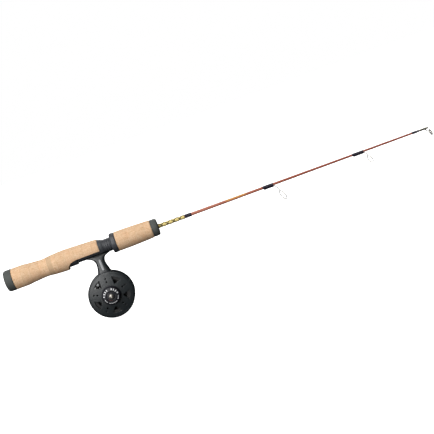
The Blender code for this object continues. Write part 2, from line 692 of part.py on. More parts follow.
def make_crank():
    """The two-ended crank arm, its cap nut, and a knob on a screw at each end."""
    end = CRANK_END_RADIUS
    eye = CRANK_EYE_RADIUS
    bar = (arc(end, -90.0, 90.0, 9, (KNOB_CIRCLE, 0.0)) + arc(eye, 35.0, 145.0, 9)
           + arc(end, 90.0, 270.0, 9, (-KNOB_CIRCLE, 0.0)) + arc(eye, 215.0, 325.0, 9))
    holes = [circle(5.3, MEDIUM), circle(KNOB_BORE, 12, (KNOB_CIRCLE, 0.0)),
             circle(KNOB_BORE, 12, (-KNOB_CIRCLE, 0.0))]
    outlines = [spun(outline, CRANK_ANGLE) for outline in [bar] + holes]
    arm = finish_piece(slab("crank_arm", outlines, *CRANK_SPAN, REEL_PLANE), STEEL)

    nut_profile = [(18.0, 0.0), (17.4, 3.6), (16.4, 7.2), (14.8, 7.4), (14.8, 6.2), (15.9, 6.2),
                   (15.9, 0.0)]
    nut = finish_piece(reel_turned("crank_nut", nut_profile, facets=6), STEEL)
    moving = [arm, nut]
    knobs = []
    for number, side in enumerate((1.0, -1.0)):
        spot = spun([(side * KNOB_CIRCLE, 0.0)], CRANK_ANGLE)[0]
        centre = (REEL_X + spot[0], 0.0, REEL_Z + spot[1])
        screw = [(31.0, 0.0), (30.6, 1.8), (29.6, 2.6), (29.3, 2.6), (29.3, 1.5), (11.9, 1.5),
                 (11.9, 2.5), (11.2, 2.2), (11.2, 0.0)]
        shank = turned("knob_screw_%d" % (number + 1), screw, "Y", centre, SMALL)
        moving.append(finish_piece(shank, STEEL))
        knob_profile = [(KNOB_FAR, 3.4), (28.2, 4.8), (25.5, 5.6), (22.5, 5.2), (18.5, 4.1),
                        (16.0, 4.4), (KNOB_NEAR, 5.0), (KNOB_NEAR, KNOB_BORE), (KNOB_FAR, KNOB_BORE)]
        knob = turned("crank_knob_%d" % (number + 1), knob_profile, "Y", centre, MEDIUM, ring=True)
        knobs.append((finish_piece(knob, DARK_RUBBER), centre))
    return moving, knobs


def build():
    make_butt_cap()
    make_rear_grip()
    make_seat_body()
    make_hood("rear_hood", *REAR_HOOD)
    front_hood = make_hood("front_hood", *FRONT_HOOD)
    fore_grip = make_fore_grip()
    hang_on("hood_axis", (FRONT_HOOD[0], 0.0, 0.0), [front_hood])
    hang_on("foregrip_axis", (FORE_GRIP_START, 0.0, 0.0), fore_grip)

    make_blank()
    make_handle_wraps()
    for guide in GUIDES:
        make_guide(*guide)
    make_tip_top()

    make_reel_frame()
    make_hub()
    drive = make_drive()
    pawl, pawl_place = make_pawl()
    spool = make_spool()
    star = make_drag_star()
    crank, knobs = make_crank()
    hang_on("pawl_axis", pawl_place, [pawl])
    hang_on("spool_axis", REEL_CENTRE, [spool])
    hang_on("crank_axis", REEL_CENTRE, drive + crank)
    hang_on("drag_axis", REEL_CENTRE, [star])
    for number, (knob, centre) in enumerate(knobs):
        hang_on("knob_axis_%d" % (number + 1), centre, [knob])


build()
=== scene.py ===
"""Looks of the ice fishing rod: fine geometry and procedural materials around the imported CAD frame.

Sizes below are millimetres unless a comment says otherwise, and MM turns them into metres.
"""
import math

import bmesh
import bpy
from mathutils import Matrix, Vector
from mathutils.bvhtree import BVHTree
from mathutils.noise import noise as noise_at


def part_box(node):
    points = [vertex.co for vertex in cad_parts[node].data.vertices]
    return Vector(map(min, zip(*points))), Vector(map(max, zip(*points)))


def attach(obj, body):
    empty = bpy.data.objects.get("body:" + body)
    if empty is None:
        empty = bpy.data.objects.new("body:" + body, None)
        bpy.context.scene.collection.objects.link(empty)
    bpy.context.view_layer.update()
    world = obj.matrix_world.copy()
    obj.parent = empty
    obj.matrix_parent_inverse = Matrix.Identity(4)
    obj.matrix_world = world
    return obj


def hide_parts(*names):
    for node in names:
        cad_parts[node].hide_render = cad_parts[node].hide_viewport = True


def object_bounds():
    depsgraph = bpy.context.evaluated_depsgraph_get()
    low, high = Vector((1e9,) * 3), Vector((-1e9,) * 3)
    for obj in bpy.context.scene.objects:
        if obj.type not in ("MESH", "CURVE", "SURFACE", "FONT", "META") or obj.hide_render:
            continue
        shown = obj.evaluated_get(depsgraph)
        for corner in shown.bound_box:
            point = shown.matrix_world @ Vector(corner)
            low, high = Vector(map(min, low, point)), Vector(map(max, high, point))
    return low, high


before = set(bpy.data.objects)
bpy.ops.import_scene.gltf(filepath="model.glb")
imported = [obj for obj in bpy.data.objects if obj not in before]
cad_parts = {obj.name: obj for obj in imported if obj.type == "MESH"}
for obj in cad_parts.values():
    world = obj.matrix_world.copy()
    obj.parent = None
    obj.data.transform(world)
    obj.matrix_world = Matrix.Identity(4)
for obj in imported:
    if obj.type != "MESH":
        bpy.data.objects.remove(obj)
CAD_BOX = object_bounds()
CAD_BOX_LOW = CAD_BOX[0][2]
MM = 0.001


def span(node, axis):
    """Lowest and highest coordinate of a CAD node along an axis, in millimetres."""
    low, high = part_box(node)
    return low[axis] / MM, high[axis] / MM


# ---- Places and sizes that come from the frame ----------------------------------------------

BUTT_END, BUTT_TOP = span("butt_cap", 0)
BUTT_RADIUS = span("butt_cap", 2)[1]
REAR_START, REAR_END = span("rear_grip", 0)
SEAT_START, SEAT_END = span("seat_body", 0)
REAR_HOOD_START, REAR_HOOD_END = span("rear_hood", 0)
REAR_HOOD_RADIUS = span("rear_hood", 2)[1]
HOOD_START, HOOD_END = span("front_hood", 0)
HOOD_RADIUS = span("front_hood", 2)[1]
FORE_START, FORE_END = span("fore_grip", 0)
FRONT_CAP_START, FRONT_CAP_END = span("front_cap", 0)
FRONT_CAP_RADIUS = span("front_cap", 2)[1]
BLANK_START, BLANK_END = span("rod_blank", 0)
REEL_LOW, REEL_HIGH = span("spool", 0)
REEL_X = (REEL_LOW + REEL_HIGH) / 2
REEL_Z = sum(span("spool", 2)) / 2
REEL_CENTRE = (REEL_X, 0.0, REEL_Z)
SPOOL_RADIUS = (REEL_HIGH - REEL_LOW) / 2
PLATE_OUTER, OPEN_END = span("reel_frame", 1)
RIM_RADIUS = REEL_Z - span("reel_frame", 2)[0]
HUB_TOP, HUB_BASE = span("hub_cover", 1)
HUB_RADIUS = (span("hub_cover", 0)[1] - span("hub_cover", 0)[0]) / 2

# ---- Sizes of the scene's own shapes ---------------------------------------------------------

SEAT_RADIUS = 9.5
SEAT_BORE = 9.8
BLANK_BORE = 3.6
FOOT_TOP = -6.8
WINDOW_TOP = -2.9
WINDOW_ARC = 14.8
WINDOW_START = 88.1
REAR_GRIP_STATIONS = (
    (REAR_START, 14.7), (29.0, 14.6), (35.5, 13.9), (46.0, 13.0), (57.2, 12.4),
    (68.0, 13.5), (79.0, 14.2), (92.0, 14.3), (108.0, 13.7), (REAR_END, 12.6))
FORE_GRIP_STATIONS = ((FORE_START, 13.55), (176.0, 13.5), (193.0, 13.1), (FORE_END, 12.3))
BLANK_STATIONS = (
    (BLANK_START, 3.1), (205.0, 2.75), (221.0, 2.55), (268.0, 2.3), (330.0, 2.07),
    (440.0, 1.67), (520.0, 1.52), (584.0, 1.36), (BLANK_END, 0.8))
CORK_RING = 12.6              # length of one cork ring of a grip
THREAD_WIDTH = 0.28           # one turn of winding thread
WRAP_FACETS = 56
WRAP_OVERRUN = 1.0            # the handle's winding runs this far back to the cap
WRAP_GAP = 0.02
GUIDE_WRAP_GAP = 0.03
THREAD_START = 142.0
THREAD_PITCH = 3.0
THREAD_DEPTH = 0.75
PORT_COUNT = 5
PORT_OUTER = 25.3
PORT_INNER = 16.4
PORT_HALF_ANGLE = 15.6
PORT_FIRST_ANGLE = 54.0
PIN_HOLE_RADIUS = 1.15
PIN_HOLE_CIRCLES = (19.0, 23.5)
RIM_BAND = 2.7
DOME = 2.6                    # how far the side plate's face crowns over its radius
PILLAR_CIRCLE = 29.4
PILLAR_ANGLES = (18.0, -36.0, -90.0, -144.0, 162.0)
BRIDGE_HALF_DEPTH = 8.2
BRIDGE_HALF_ANGLE = 17.0
STEM_SECTIONS = (
    # drop below the rod's axis, rear edge, front edge, half depth
    (8.6, 112.0, 148.0, 3.0), (9.9, 114.0, 145.5, 3.6), (11.8, 118.4, 140.3, 4.2),
    (14.2, 121.3, 137.6, 4.8), (17.4, 122.8, 136.3, 5.2), (20.8, 123.2, 136.1, 5.6),
    (25.0, 122.7, 136.8, 6.2), (30.0, 121.5, 138.2, 7.0), (35.5, 119.6, 140.0, 7.8))
STEM_SQUARENESS = 0.55        # 1 is an ellipse, and less is squarer
RIB_TOP = 14.5                # drop at which the stem's raised rib begins
RIB_LENGTH = 15.5
RIB_HALF_WIDTH = 1.5
SPOOL_PHASE = 90.0
STEM_SHADE_LINE_ANGLES = (70.0, 150.0)   # where the stem may cross the side plate's rim; a dark bead there stands in for the shade line at the junction
SPOOL_WINDOW_OUTER = 16.0
SPOOL_WINDOW_INNER = 13.5
SPOOL_WINDOWS = 5
LINE_TIE_ANGLE = 124.0
LINE_TIE_CIRCLE = 22.9
SPOOL_RIVETS = (
    # circle's radius, angle, Y of the rivet's seat
    (24.0, 139.0, -7.4), (17.75, 135.0, -1.6))
STAR_ARMS = 5
STAR_RADIUS = 12.6
STAR_WAVE = 2.9
CRANK_ANGLE = 132.0
CRANK_END_RADIUS = 4.6
CRANK_HUB_RADIUS = 7.4
KNOB_CIRCLE = 20.5


# ---- Shape helpers ---------------------------------------------------------------------------

def link(name, mesh):
    piece = bpy.data.objects.new(name, mesh)
    bpy.context.scene.collection.objects.link(piece)
    return piece


def from_bmesh(name, shape, sharp=35.0):
    bmesh.ops.recalc_face_normals(shape, faces=shape.faces)
    mesh = bpy.data.meshes.new(name)
    shape.to_mesh(mesh)
    shape.free()
    mesh.shade_smooth()
    mesh.set_sharp_from_angle(angle=math.radians(sharp))
    return link(name, mesh)


def rounded(corners, steps=4):
    """A closed profile whose corners (along, radius, fillet) are rounded off."""
    result = []
    count = len(corners)
    for i, corner in enumerate(corners):
        point = Vector(corner[:2])
        fillet = corner[2] if len(corner) > 2 else 0.0
        if fillet <= 0:
            result.append(tuple(point))
            continue
        before = Vector(corners[i - 1][:2]) - point
        after = Vector(corners[(i + 1) % count][:2]) - point
        reach = min(fillet, 0.48 * before.length, 0.48 * after.length)
        start = point + before.normalized() * reach
        end = point + after.normalized() * reach
        for k in range(steps + 1):
            t = k / steps
            result.append(tuple(start * (1 - t) ** 2 + point * 2 * t * (1 - t) + end * t * t))
    return result


def skin(name, rows, ring=False, caps=True, sharp=35.0):
    """Join rows of points (in millimetres) into a skin. A row of one point is a pole."""
    shape = bmesh.new()
    grid = [[shape.verts.new(Vector(point) * MM) for point in row] for row in rows]
    pairs = list(zip(grid, grid[1:]))
    if ring:
        pairs.append((grid[-1], grid[0]))
    for one, two in pairs:
        count = max(len(one), len(two))
        for k in range(count):
            n = (k + 1) % count
            if len(one) == 1:
                shape.faces.new((one[0], two[k], two[n]))
            elif len(two) == 1:
                shape.faces.new((one[k], two[0], one[n]))
            else:
                shape.faces.new((one[k], two[k], two[n], one[n]))
    if caps and not ring:
        for row in (grid[0], grid[-1]):
            if len(row) > 2:
                shape.faces.new(row)
    return from_bmesh(name, shape, sharp)


def around(count):
    """Equally spaced angles round a full turn, in radians."""
    return [2 * math.pi * k / count for k in range(count)]


def lathe(name, profile, axis="X", centre=(0.0, 0.0, 0.0), facets=96, ring=True):
    """Turn a profile of (along, radius) about X or Y. A ring's profile closes on itself."""
    rows = []
    for along, radius in profile:
        row = []
        for a in around(1 if radius < 1e-6 else facets):
            across = radius * math.cos(a)
            up = radius * math.sin(a)
            offset = (along, across, up) if axis == "X" else (across, along, up)
            row.append(Vector(centre) + Vector(offset))
        rows.append(row)
    return skin(name, rows, ring, not ring)


def arc(radius, start, end, count, centre=(0.0, 0.0)):
    """Points on an arc, with angles in degrees."""
    angles = [math.radians(start + (end - start) * i / (count - 1)) for i in range(count)]
    return [(centre[0] + radius * math.cos(a), centre[1] + radius * math.sin(a)) for a in angles]


def circle(radius, count, centre=(0.0, 0.0)):
    return arc(radius, 0.0, 360.0, count + 1, centre)[:-1]


def spun(outline, angle):
    """Turn an outline about the origin by an angle in degrees."""
    c = math.cos(math.radians(angle))
    s = math.sin(math.radians(angle))
    return [(x * c - z * s, x * s + z * c) for x, z in outline]


def slab(name, outlines, near, far, centre=(0.0, 0.0), edge=0.0):
    """Extrude outlines of (x, z) along Y. An outline inside another is a hole; edge rounds them."""
    curve = bpy.data.curves.new(name, "CURVE")
    curve.dimensions = "2D"
    curve.fill_mode = "BOTH"
    curve.extrude = ((far - near) / 2 - edge) * MM
    curve.bevel_depth = edge * MM
    curve.bevel_resolution = 2
    curve.offset = -edge * MM
    for outline in outlines:
        spline = curve.splines.new("POLY")
        spline.points.add(len(outline) - 1)
        spline.use_cyclic_u = True
        for point, (x, z) in zip(spline.points, outline):
            point.co = (x * MM, z * MM, 0.0, 1.0)
    holder = link(name, curve)
    middle = Vector((centre[0], (near + far) / 2, centre[1])) * MM
    holder.matrix_world = Matrix.Translation(middle) @ Matrix.Rotation(math.radians(90), 4, "X")
    graph = bpy.context.evaluated_depsgraph_get()
    mesh = bpy.data.meshes.new_from_object(holder.evaluated_get(graph))
    mesh.transform(holder.matrix_world)
    bpy.data.objects.remove(holder, do_unlink=True)
    bpy.data.curves.remove(curve)
    shape = bmesh.new()
    shape.from_mesh(mesh)
    bpy.data.meshes.remove(mesh)
    bmesh.ops.remove_doubles(shape, verts=shape.verts, dist=0.000002)
    return from_bmesh(name, shape)


def sweep(name, points, radii, sides=16, closed=False):
    """A wire along points. radii is one radius, or one for each point."""
    places = [Vector(p) for p in points]
    count = len(places)
    if not hasattr(radii, "__len__"):
        radii = [radii] * count
    rows = []
    side = None
    for i, place in enumerate(places):
        ahead = places[(i + 1) % count] if closed or i < count - 1 else place
        behind = places[i - 1] if closed or i > 0 else place
        along = (ahead - behind).normalized()
        if side is None:
            side = along.cross(Vector((0.0, 1.0, 0.0)))
            if side.length < 0.1:
                side = along.cross(Vector((0.0, 0.0, 1.0)))
        side = (side - along * side.dot(along)).normalized()
        over = along.cross(side)
        rows.append([place + (side * math.cos(a) + over * math.sin(a)) * radii[i]
                     for a in around(sides)])
    return skin(name, rows, closed, not closed, 40.0)


def smooth_through(stations, step):
    """Points along a smooth curve through (position, value...) stations."""
    result = []
    last = len(stations) - 1
    for i in range(last):
        before = stations[max(i - 1, 0)]
        start = stations[i]
        end = stations[i + 1]
        after = stations[min(i + 2, last)]
        length = end[0] - start[0]
        count = max(1, round(abs(length) / step))
        for k in range(count):
            t = k / count
            values = [start[0] + t * length]
            for v in range(1, len(start)):
                slope_in = (end[v] - before[v]) / (end[0] - before[0])
                slope_out = (after[v] - start[v]) / (after[0] - start[0])
                values.append((1 + 2 * t) * (1 - t) ** 2 * start[v]
                              + t * (1 - t) ** 2 * length * slope_in
                              + t * t * (3 - 2 * t) * end[v]
                              - t * t * (1 - t) * length * slope_out)
            result.append(tuple(values))
    result.append(tuple(stations[-1]))
    return result


def level(stations, place, column=1):
    """A column's value at a place, on straight lines between the stations."""
    for before, after in zip(stations, stations[1:]):
        if place <= after[0]:
            rise = after[column] - before[column]
            return before[column] + rise * (place - before[0]) / (after[0] - before[0])
    return stations[-1][column]


def blank_radius(x):
    return level(BLANK_STATIONS, x)


def cut_with(piece, tool):
    """Cut another object out of a piece, and remove that object."""
    step = piece.modifiers.new("cut", "BOOLEAN")
    step.operation = "DIFFERENCE"
    step.solver = "EXACT"
    step.object = tool
    graph = bpy.context.evaluated_depsgraph_get()
    mesh = bpy.data.meshes.new_from_object(piece.evaluated_get(graph))
    piece.modifiers.clear()
    piece.data = mesh
    bpy.data.objects.remove(tool, do_unlink=True)
    mesh.shade_smooth()
    mesh.set_sharp_from_angle(angle=math.radians(35.0))


def merge(name, pieces):
    """Join several pieces into one."""
    shape = bmesh.new()
    for piece in pieces:
        shape.from_mesh(piece.data)
        bpy.data.objects.remove(piece, do_unlink=True)
    mesh = bpy.data.meshes.new(name)
    shape.to_mesh(mesh)
    shape.free()
    return link(name, mesh)


def curve_through(points, steps):
    """Points along a smooth curve that passes through the given ones."""
    places = [Vector(p) for p in points]
    result = []
    for i in range(len(places) - 1):
        before = places[max(i - 1, 0)]
        start = places[i]
        end = places[i + 1]
        after = places[min(i + 2, len(places) - 1)]
        for k in range(steps):
            t = k / steps
            result.append(0.5 * (2 * start + (end - before) * t
                                 + (2 * before - 5 * start + 4 * end - after) * t * t
                                 + (3 * start - before - 3 * end + after) * t ** 3))
    result.append(places[-1])
    return result


def box(name, low, high):
    shape = bmesh.new()
    bmesh.ops.create_cube(shape, size=1.0)
    size = (Vector(high) - Vector(low)) * MM
    middle = (Vector(high) + Vector(low)) * MM / 2
    bmesh.ops.transform(
        shape, matrix=Matrix.Translation(middle) @ Matrix.Diagonal((*size, 1.0)), verts=shape.verts)
    return from_bmesh(name, shape)


# ---- Material helpers ------------------------------------------------------------------------

def node(tree, kind, inputs=None, **settings):
    """Add a shader node, setting or linking its inputs by name."""
    made = tree.nodes.new("ShaderNode" + kind)
    for key, value in settings.items():
        setattr(made, key, value)
    for key, value in (inputs or {}).items():
        if isinstance(value, bpy.types.NodeSocket):
            tree.links.new(value, made.inputs[key])
        else:
            made.inputs[key].default_value = value
    return made


def ramp(tree, factor, stops):
    made = node(tree, "ValToRGB", {"Fac": factor})
    elements = made.color_ramp.elements
    while len(elements) < len(stops):
        elements.new(0.5)
    for element, (position, colour) in zip(elements, stops):
        element.position = position
        element.color = (*colour, 1.0) if hasattr(colour, "__len__") else (colour,) * 3 + (1.0,)
    return made.outputs["Color"]


def new_material(name, roughness=0.5, metallic=0.0, **sockets):
    """A Principled material; sockets are uniform values such as coat or sheen weights."""
    material = bpy.data.materials.new(name)
    material.use_nodes = True
    tree = material.node_tree
    shader = tree.nodes["Principled BSDF"]
    shader.inputs["Roughness"].default_value = roughness
    shader.inputs["Metallic"].default_value = metallic
    for key, value in sockets.items():
        shader.inputs[key.replace("_", " ")].default_value = value
    where = node(tree, "TexCoord").outputs["Object"]
    return material, tree, shader, where


def noise(tree, where, scale, detail=4.0, roughness=0.55):
    made = node(tree, "TexNoise", {"Vector": where, "Scale": scale, "Detail": detail,
                                   "Roughness": roughness})
    return made.outputs["Fac"]


def maths(tree, operation, first, second=None):
    made = tree.nodes.new("ShaderNodeMath")
    made.operation = operation
    for socket, value in zip(made.inputs, (first, second)):
        if isinstance(value, bpy.types.NodeSocket):
            tree.links.new(value, socket)
        elif value is not None:
            socket.default_value = value
    return made.outputs["Value"]


def scaled(tree, value, factor):
    return maths(tree, "MULTIPLY", value, factor)


def step_at(tree, value, place, width):
    """0 below a place (in millimetres) and 1 above it, with a soft edge of the given width."""
    return node(tree, "MapRange", {"Value": value, "From Min": (place - width / 2) * MM,
                                   "From Max": (place + width / 2) * MM}).outputs["Result"]


def band_at(tree, value, band, width):
    """1 between a band's two places (in millimetres) and 0 outside it, with soft edges."""
    return maths(tree, "MULTIPLY", step_at(tree, value, band[0], width),
                 maths(tree, "SUBTRACT", 1.0, step_at(tree, value, band[1], width)))


def shade_of(tree, number):
    """One random value for each whole number."""
    return node(tree, "TexWhiteNoise", {"W": number}, noise_dimensions="1D").outputs["Value"]


def mix(tree, factor, first, second):
    made = tree.nodes.new("ShaderNodeMix")
    made.data_type = "RGBA"
    tree.links.new(factor, made.inputs["Factor"])
    for socket, value in ((made.inputs[6], first), (made.inputs[7], second)):
        if isinstance(value, bpy.types.NodeSocket):
            tree.links.new(value, socket)
        else:
            socket.default_value = (*value, 1.0)
    return made.outputs[2]


def tint(tree, base, mask, strength, colour):
    """Take a colour towards another where the mask is bright."""
    return mix(tree, scaled(tree, mask, strength), base, colour)


def stretched(tree, where, scale):
    return node(tree, "Mapping", {"Vector": where, "Scale": scale}).outputs["Vector"]


def bump(tree, shader, height, strength, distance, below=None):
    inputs = {"Height": height, "Strength": strength, "Distance": distance}
    if below is not None:
        inputs["Normal"] = below
    made = node(tree, "Bump", inputs)
    tree.links.new(made.outputs["Normal"], shader.inputs["Normal"])
    return made.outputs["Normal"]


def feed(tree, shader, socket, value):
    tree.links.new(value, shader.inputs[socket])


# ---- Materials, one function for each finish --------------------------------------------------

CORK_DARK_BAND = (62.0, 69.0)  # one greyer ring, where the rear grip is thinnest


def make_cork():
    material, tree, shader, where = new_material("cork", 0.78)
    grain = noise(tree, where, 700.0, 5.0, 0.62)
    base = ramp(tree, grain, ((0.30, (0.52, 0.305, 0.150)), (0.50, (0.685, 0.470, 0.290)),
                              (0.72, (0.755, 0.555, 0.375))))
    clouds = noise(tree, stretched(tree, where, (1.0, 0.6, 0.6)), 130.0, 3.0)
    warm = ramp(tree, clouds, ((0.42, 0.0), (0.66, 1.0)))
    base = tint(tree, base, warm, 0.42, (0.66, 0.36, 0.19))
    along = node(tree, "SeparateXYZ", {"Vector": where}).outputs["X"]
    ring = maths(tree, "DIVIDE", along, CORK_RING * MM)
    shade = shade_of(tree, maths(tree, "FLOOR", ring))
    base = tint(tree, base, shade, 0.30, (0.53, 0.36, 0.22))
    band = band_at(tree, along, CORK_DARK_BAND, 0.3)
    base = tint(tree, base, band, 0.42, (0.38, 0.29, 0.18))
    streaks = ramp(tree, noise(tree, stretched(tree, where, (0.22, 1.0, 1.0)), 420.0, 3.0),
                   ((0.48, 0.0), (0.66, 1.0)))
    base = tint(tree, base, streaks, 0.30, (0.50, 0.28, 0.14))
    pores = noise(tree, stretched(tree, where, (0.55, 1.0, 1.0)), 430.0, 2.0, 0.4)
    dark = ramp(tree, pores, ((0.65, 0.0), (0.74, 1.0)))
    base = tint(tree, base, dark, 0.50, (0.36, 0.15, 0.055))
    flecks = node(tree, "TexVoronoi", {"Vector": where, "Scale": 950.0}).outputs["Distance"]
    speck = ramp(tree, flecks, ((0.10, 1.0), (0.20, 0.0)))
    base = tint(tree, base, speck, 0.22, (0.36, 0.19, 0.09))
    place = maths(tree, "ABSOLUTE", maths(tree, "SUBTRACT", maths(tree, "FRACT", ring), 0.5))
    joint = ramp(tree, place, ((0.478, 0.0), (0.497, 1.0)))
    base = tint(tree, base, joint, 0.40, (0.33, 0.19, 0.09))
    feed(tree, shader, "Base Color", base)
    fine = bump(tree, shader, grain, 0.35, 0.0002)
    bump(tree, shader, maths(tree, "SUBTRACT", 1.0, dark), 0.5, 0.0003, fine)
    feed(tree, shader, "Roughness", ramp(tree, grain, ((0.3, 0.9), (0.7, 0.7))))
    return material


def make_rubber():
    material, tree, shader, where = new_material("rubber", 0.7)
    grain = noise(tree, where, 2600.0, 4.0)
    clouds = noise(tree, where, 160.0, 3.0)
    base = ramp(tree, grain, ((0.35, (0.038, 0.043, 0.040)), (0.65, (0.066, 0.073, 0.068))))
    base = tint(tree, base, clouds, 0.25, (0.10, 0.108, 0.10))
    feed(tree, shader, "Base Color", base)
    feed(tree, shader, "Roughness", ramp(tree, clouds, ((0.3, 0.62), (0.7, 0.8))))
    bump(tree, shader, grain, 0.4, 0.00012)
    return material


def make_moulding(name, dark, light, low, high, sparkle, grain_scale=1500.0):
    """Moulded plastic: fine spark-eroded grain, faint flow marks, and glossier rubbed patches."""
    material, tree, shader, where = new_material(name, low, 0.0)
    grain = noise(tree, where, grain_scale, 3.0)
    flow = noise(tree, stretched(tree, where, (0.4, 1.0, 1.0)), 90.0, 4.0)
    base = ramp(tree, flow, ((0.35, dark), (0.68, light)))
    fleck = ramp(tree, noise(tree, where, 4200.0, 1.0), ((0.66, 0.0), (0.74, 1.0)))
    base = tint(tree, base, fleck, sparkle, (0.16, 0.17, 0.18))
    feed(tree, shader, "Base Color", base)
    feed(tree, shader, "Roughness", ramp(tree, flow, ((0.3, high), (0.7, low))))
    bump(tree, shader, grain, 0.22, 0.00008)
    return material


def make_metal(name, colour, tarnish, low, high, brush=(1.0, 1.0, 1.0)):
    """Bright metal with fine brushing along the axis of the smallest scale, and faint tarnish."""
    material, tree, shader, where = new_material(name, low, 1.0)
    lines = noise(tree, stretched(tree, where, brush), 2600.0, 3.0)
    clouds = noise(tree, where, 240.0, 4.0)
    feed(tree, shader, "Base Color", ramp(tree, clouds, ((0.35, tarnish), (0.65, colour))))
    feed(tree, shader, "Roughness", ramp(tree, lines, ((0.3, low), (0.7, high))))
    bump(tree, shader, lines, 0.12, 0.00003)
    return material


BLANK_DEEPENS = (300.0, 420.0)   # the copper brown grows darker along this stretch
BLANK_GOLD_HIGHLIGHT = (318.0, 347.0)  # painted highlight: a gold tint laid on the blank's upper face


def make_blank_finish():
    """Clear-coated copper-brown glass: spiral weave under the gloss, and a painted gold highlight on
    its upper face.
    """
    material, tree, shader, where = new_material(
        "blank", 0.4, 0.0, Coat_Weight=0.1, Coat_Roughness=0.15, IOR=1.2)
    parts = node(tree, "SeparateXYZ", {"Vector": where}).outputs
    streaks = noise(tree, stretched(tree, where, (0.05, 1.0, 1.0)), 1500.0, 3.0)
    clouds = noise(tree, stretched(tree, where, (0.3, 1.0, 1.0)), 120.0, 2.0)
    base = ramp(tree, streaks, ((0.30, (0.36, 0.125, 0.082)), (0.70, (0.50, 0.200, 0.140))))
    thin = ramp(tree, streaks, ((0.30, (0.23, 0.056, 0.034)), (0.70, (0.36, 0.100, 0.062))))
    deepen = node(tree, "MapRange", {"Value": parts["X"], "From Min": BLANK_DEEPENS[0] * MM,
                                     "From Max": BLANK_DEEPENS[1] * MM}).outputs["Result"]
    base = mix(tree, deepen, base, thin)
    base = tint(tree, base, clouds, 0.25, (0.38, 0.13, 0.08))
    # Painted highlight: the gold tint goes only on the upper face (Z above the axis), where light
    # falls.
    gold_highlight_band = band_at(tree, parts["X"], BLANK_GOLD_HIGHLIGHT, 4.0)
    above = step_at(tree, parts["Z"], 0.1, 0.5)
    base = tint(tree, base, maths(tree, "MULTIPLY", gold_highlight_band, above), 0.60, (0.66, 0.34, 0.05))
    feed(tree, shader, "Base Color", base)
    turn = maths(tree, "ARCTAN2", parts["Y"], parts["Z"])
    tape = maths(tree, "ADD", scaled(tree, parts["X"], 2 * math.pi / (2.2 * MM)), turn)
    bump(tree, shader, maths(tree, "SINE", tape), 0.10, 0.00004)
    return material


def make_thread(name, dark, light):
    """Wound thread under resin: each turn's own shade, short fibres, and a clear glossy coat."""
    material, tree, shader, where = new_material(
        name, 0.5, 0.0, Coat_Weight=0.2, Coat_Roughness=0.12, IOR=1.25)
    along = node(tree, "SeparateXYZ", {"Vector": where}).outputs["X"]
    turn = maths(tree, "FLOOR", maths(tree, "DIVIDE", along, THREAD_WIDTH * MM))
    shade = shade_of(tree, turn)
    fibres = noise(tree, stretched(tree, where, (4.0, 1.0, 1.0)), 900.0, 3.0)
    base = ramp(tree, fibres, ((0.3, dark), (0.7, light)))
    feed(tree, shader, "Base Color", mix(tree, scaled(tree, shade, 0.4), base, dark))
    bump(tree, shader, fibres, 0.2, 0.00005)
    return material


def make_printed(name, colour, roughness):
    """Printed marks and small painted parts, with slightly uneven colour."""
    material, tree, shader, where = new_material(name, roughness)
    ink = noise(tree, where, 1300.0, 4.0)
    faded = tuple(0.72 * channel for channel in colour)
    feed(tree, shader, "Base Color", ramp(tree, ink, ((0.32, faded), (0.6, colour))))
    bump(tree, shader, ink, 0.15, 0.00003)
    return material


LOOKS = {
    "cork": make_cork(),
    "rubber": make_rubber(),
    "seat_plastic": make_moulding("seat_plastic", (0.034, 0.036, 0.041), (0.052, 0.055, 0.062),
                                  0.36, 0.48, 0.05, 900.0),
    "graphite": make_moulding("graphite", (0.003, 0.0055, 0.007), (0.006, 0.010, 0.012),
                              0.32, 0.40, 0.12),
    "spool_graphite": make_moulding("spool_graphite", (0.0014, 0.0016, 0.0018),
                                    (0.0034, 0.0038, 0.0042), 0.55, 0.7, 0.08),
    "label_plastic": make_moulding("label_plastic", (0.003, 0.003, 0.006), (0.009, 0.009, 0.015),
                                   0.42, 0.55, 0.05),
    "steel": make_metal("steel", (0.70, 0.69, 0.67), (0.55, 0.54, 0.52), 0.20, 0.34,
                        (1.0, 0.15, 1.0)),
    "dull_steel": make_metal("dull_steel", (0.56, 0.53, 0.48), (0.34, 0.32, 0.29), 0.34, 0.5),
    "guide_wire": make_metal("guide_wire", (0.19, 0.16, 0.085), (0.13, 0.11, 0.06), 0.24, 0.34),
    "brass": make_metal("brass", (0.36, 0.34, 0.25), (0.25, 0.24, 0.17), 0.30, 0.42),
    "blank": make_blank_finish(),
    "gold_thread": make_thread("gold_thread", (0.55, 0.41, 0.11), (0.86, 0.74, 0.34)),
    "olive_thread": make_thread("olive_thread", (0.020, 0.013, 0.003), (0.080, 0.055, 0.012)),
    "navy_thread": make_thread("navy_thread", (0.010, 0.008, 0.014), (0.040, 0.034, 0.056)),
    "washer": make_moulding("washer", (0.07, 0.05, 0.04), (0.13, 0.10, 0.08), 0.7, 0.85, 0.1),
    "white_print": make_printed("white_print", (0.80, 0.81, 0.82), 0.5),
    "red_print": make_printed("red_print", (0.10, 0.012, 0.008), 0.5),
    "grey_print": make_printed("grey_print", (0.30, 0.31, 0.32), 0.4),
}


def settle(piece, look, body, *nodes):
    """Give a piece its finish and its body, and hide the CAD nodes that it stands for."""
    piece.data.materials.clear()
    piece.data.materials.append(LOOKS[look])
    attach(piece, body)
    if nodes:
        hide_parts(*nodes)


# ---- Handle ----------------------------------------------------------------------------------

def make_butt_cap():
    """A pushed-on cap with a softly crowned end, a moulded ring and a vent dimple."""
    length = BUTT_TOP
    radius = BUTT_RADIUS
    profile = rounded((
        (0.9, 0.0), (0.9, 1.0, 0.3), (0.0, 1.8, 0.5), (0.0, 8.6, 0.4), (0.45, 8.9, 0.3),
        (0.45, 9.6, 0.3), (0.05, 9.9, 0.4), (1.2, radius - 0.7, 2.2), (4.2, radius, 1.8),
        (length - 0.5, radius + 0.05, 0.4), (length, radius - 0.5, 0.3), (length, 4.0),
        (length, 0.0)), 6)
    settle(lathe("butt_cap_fine", profile, facets=128, ring=False), "rubber", "root", "butt_cap")


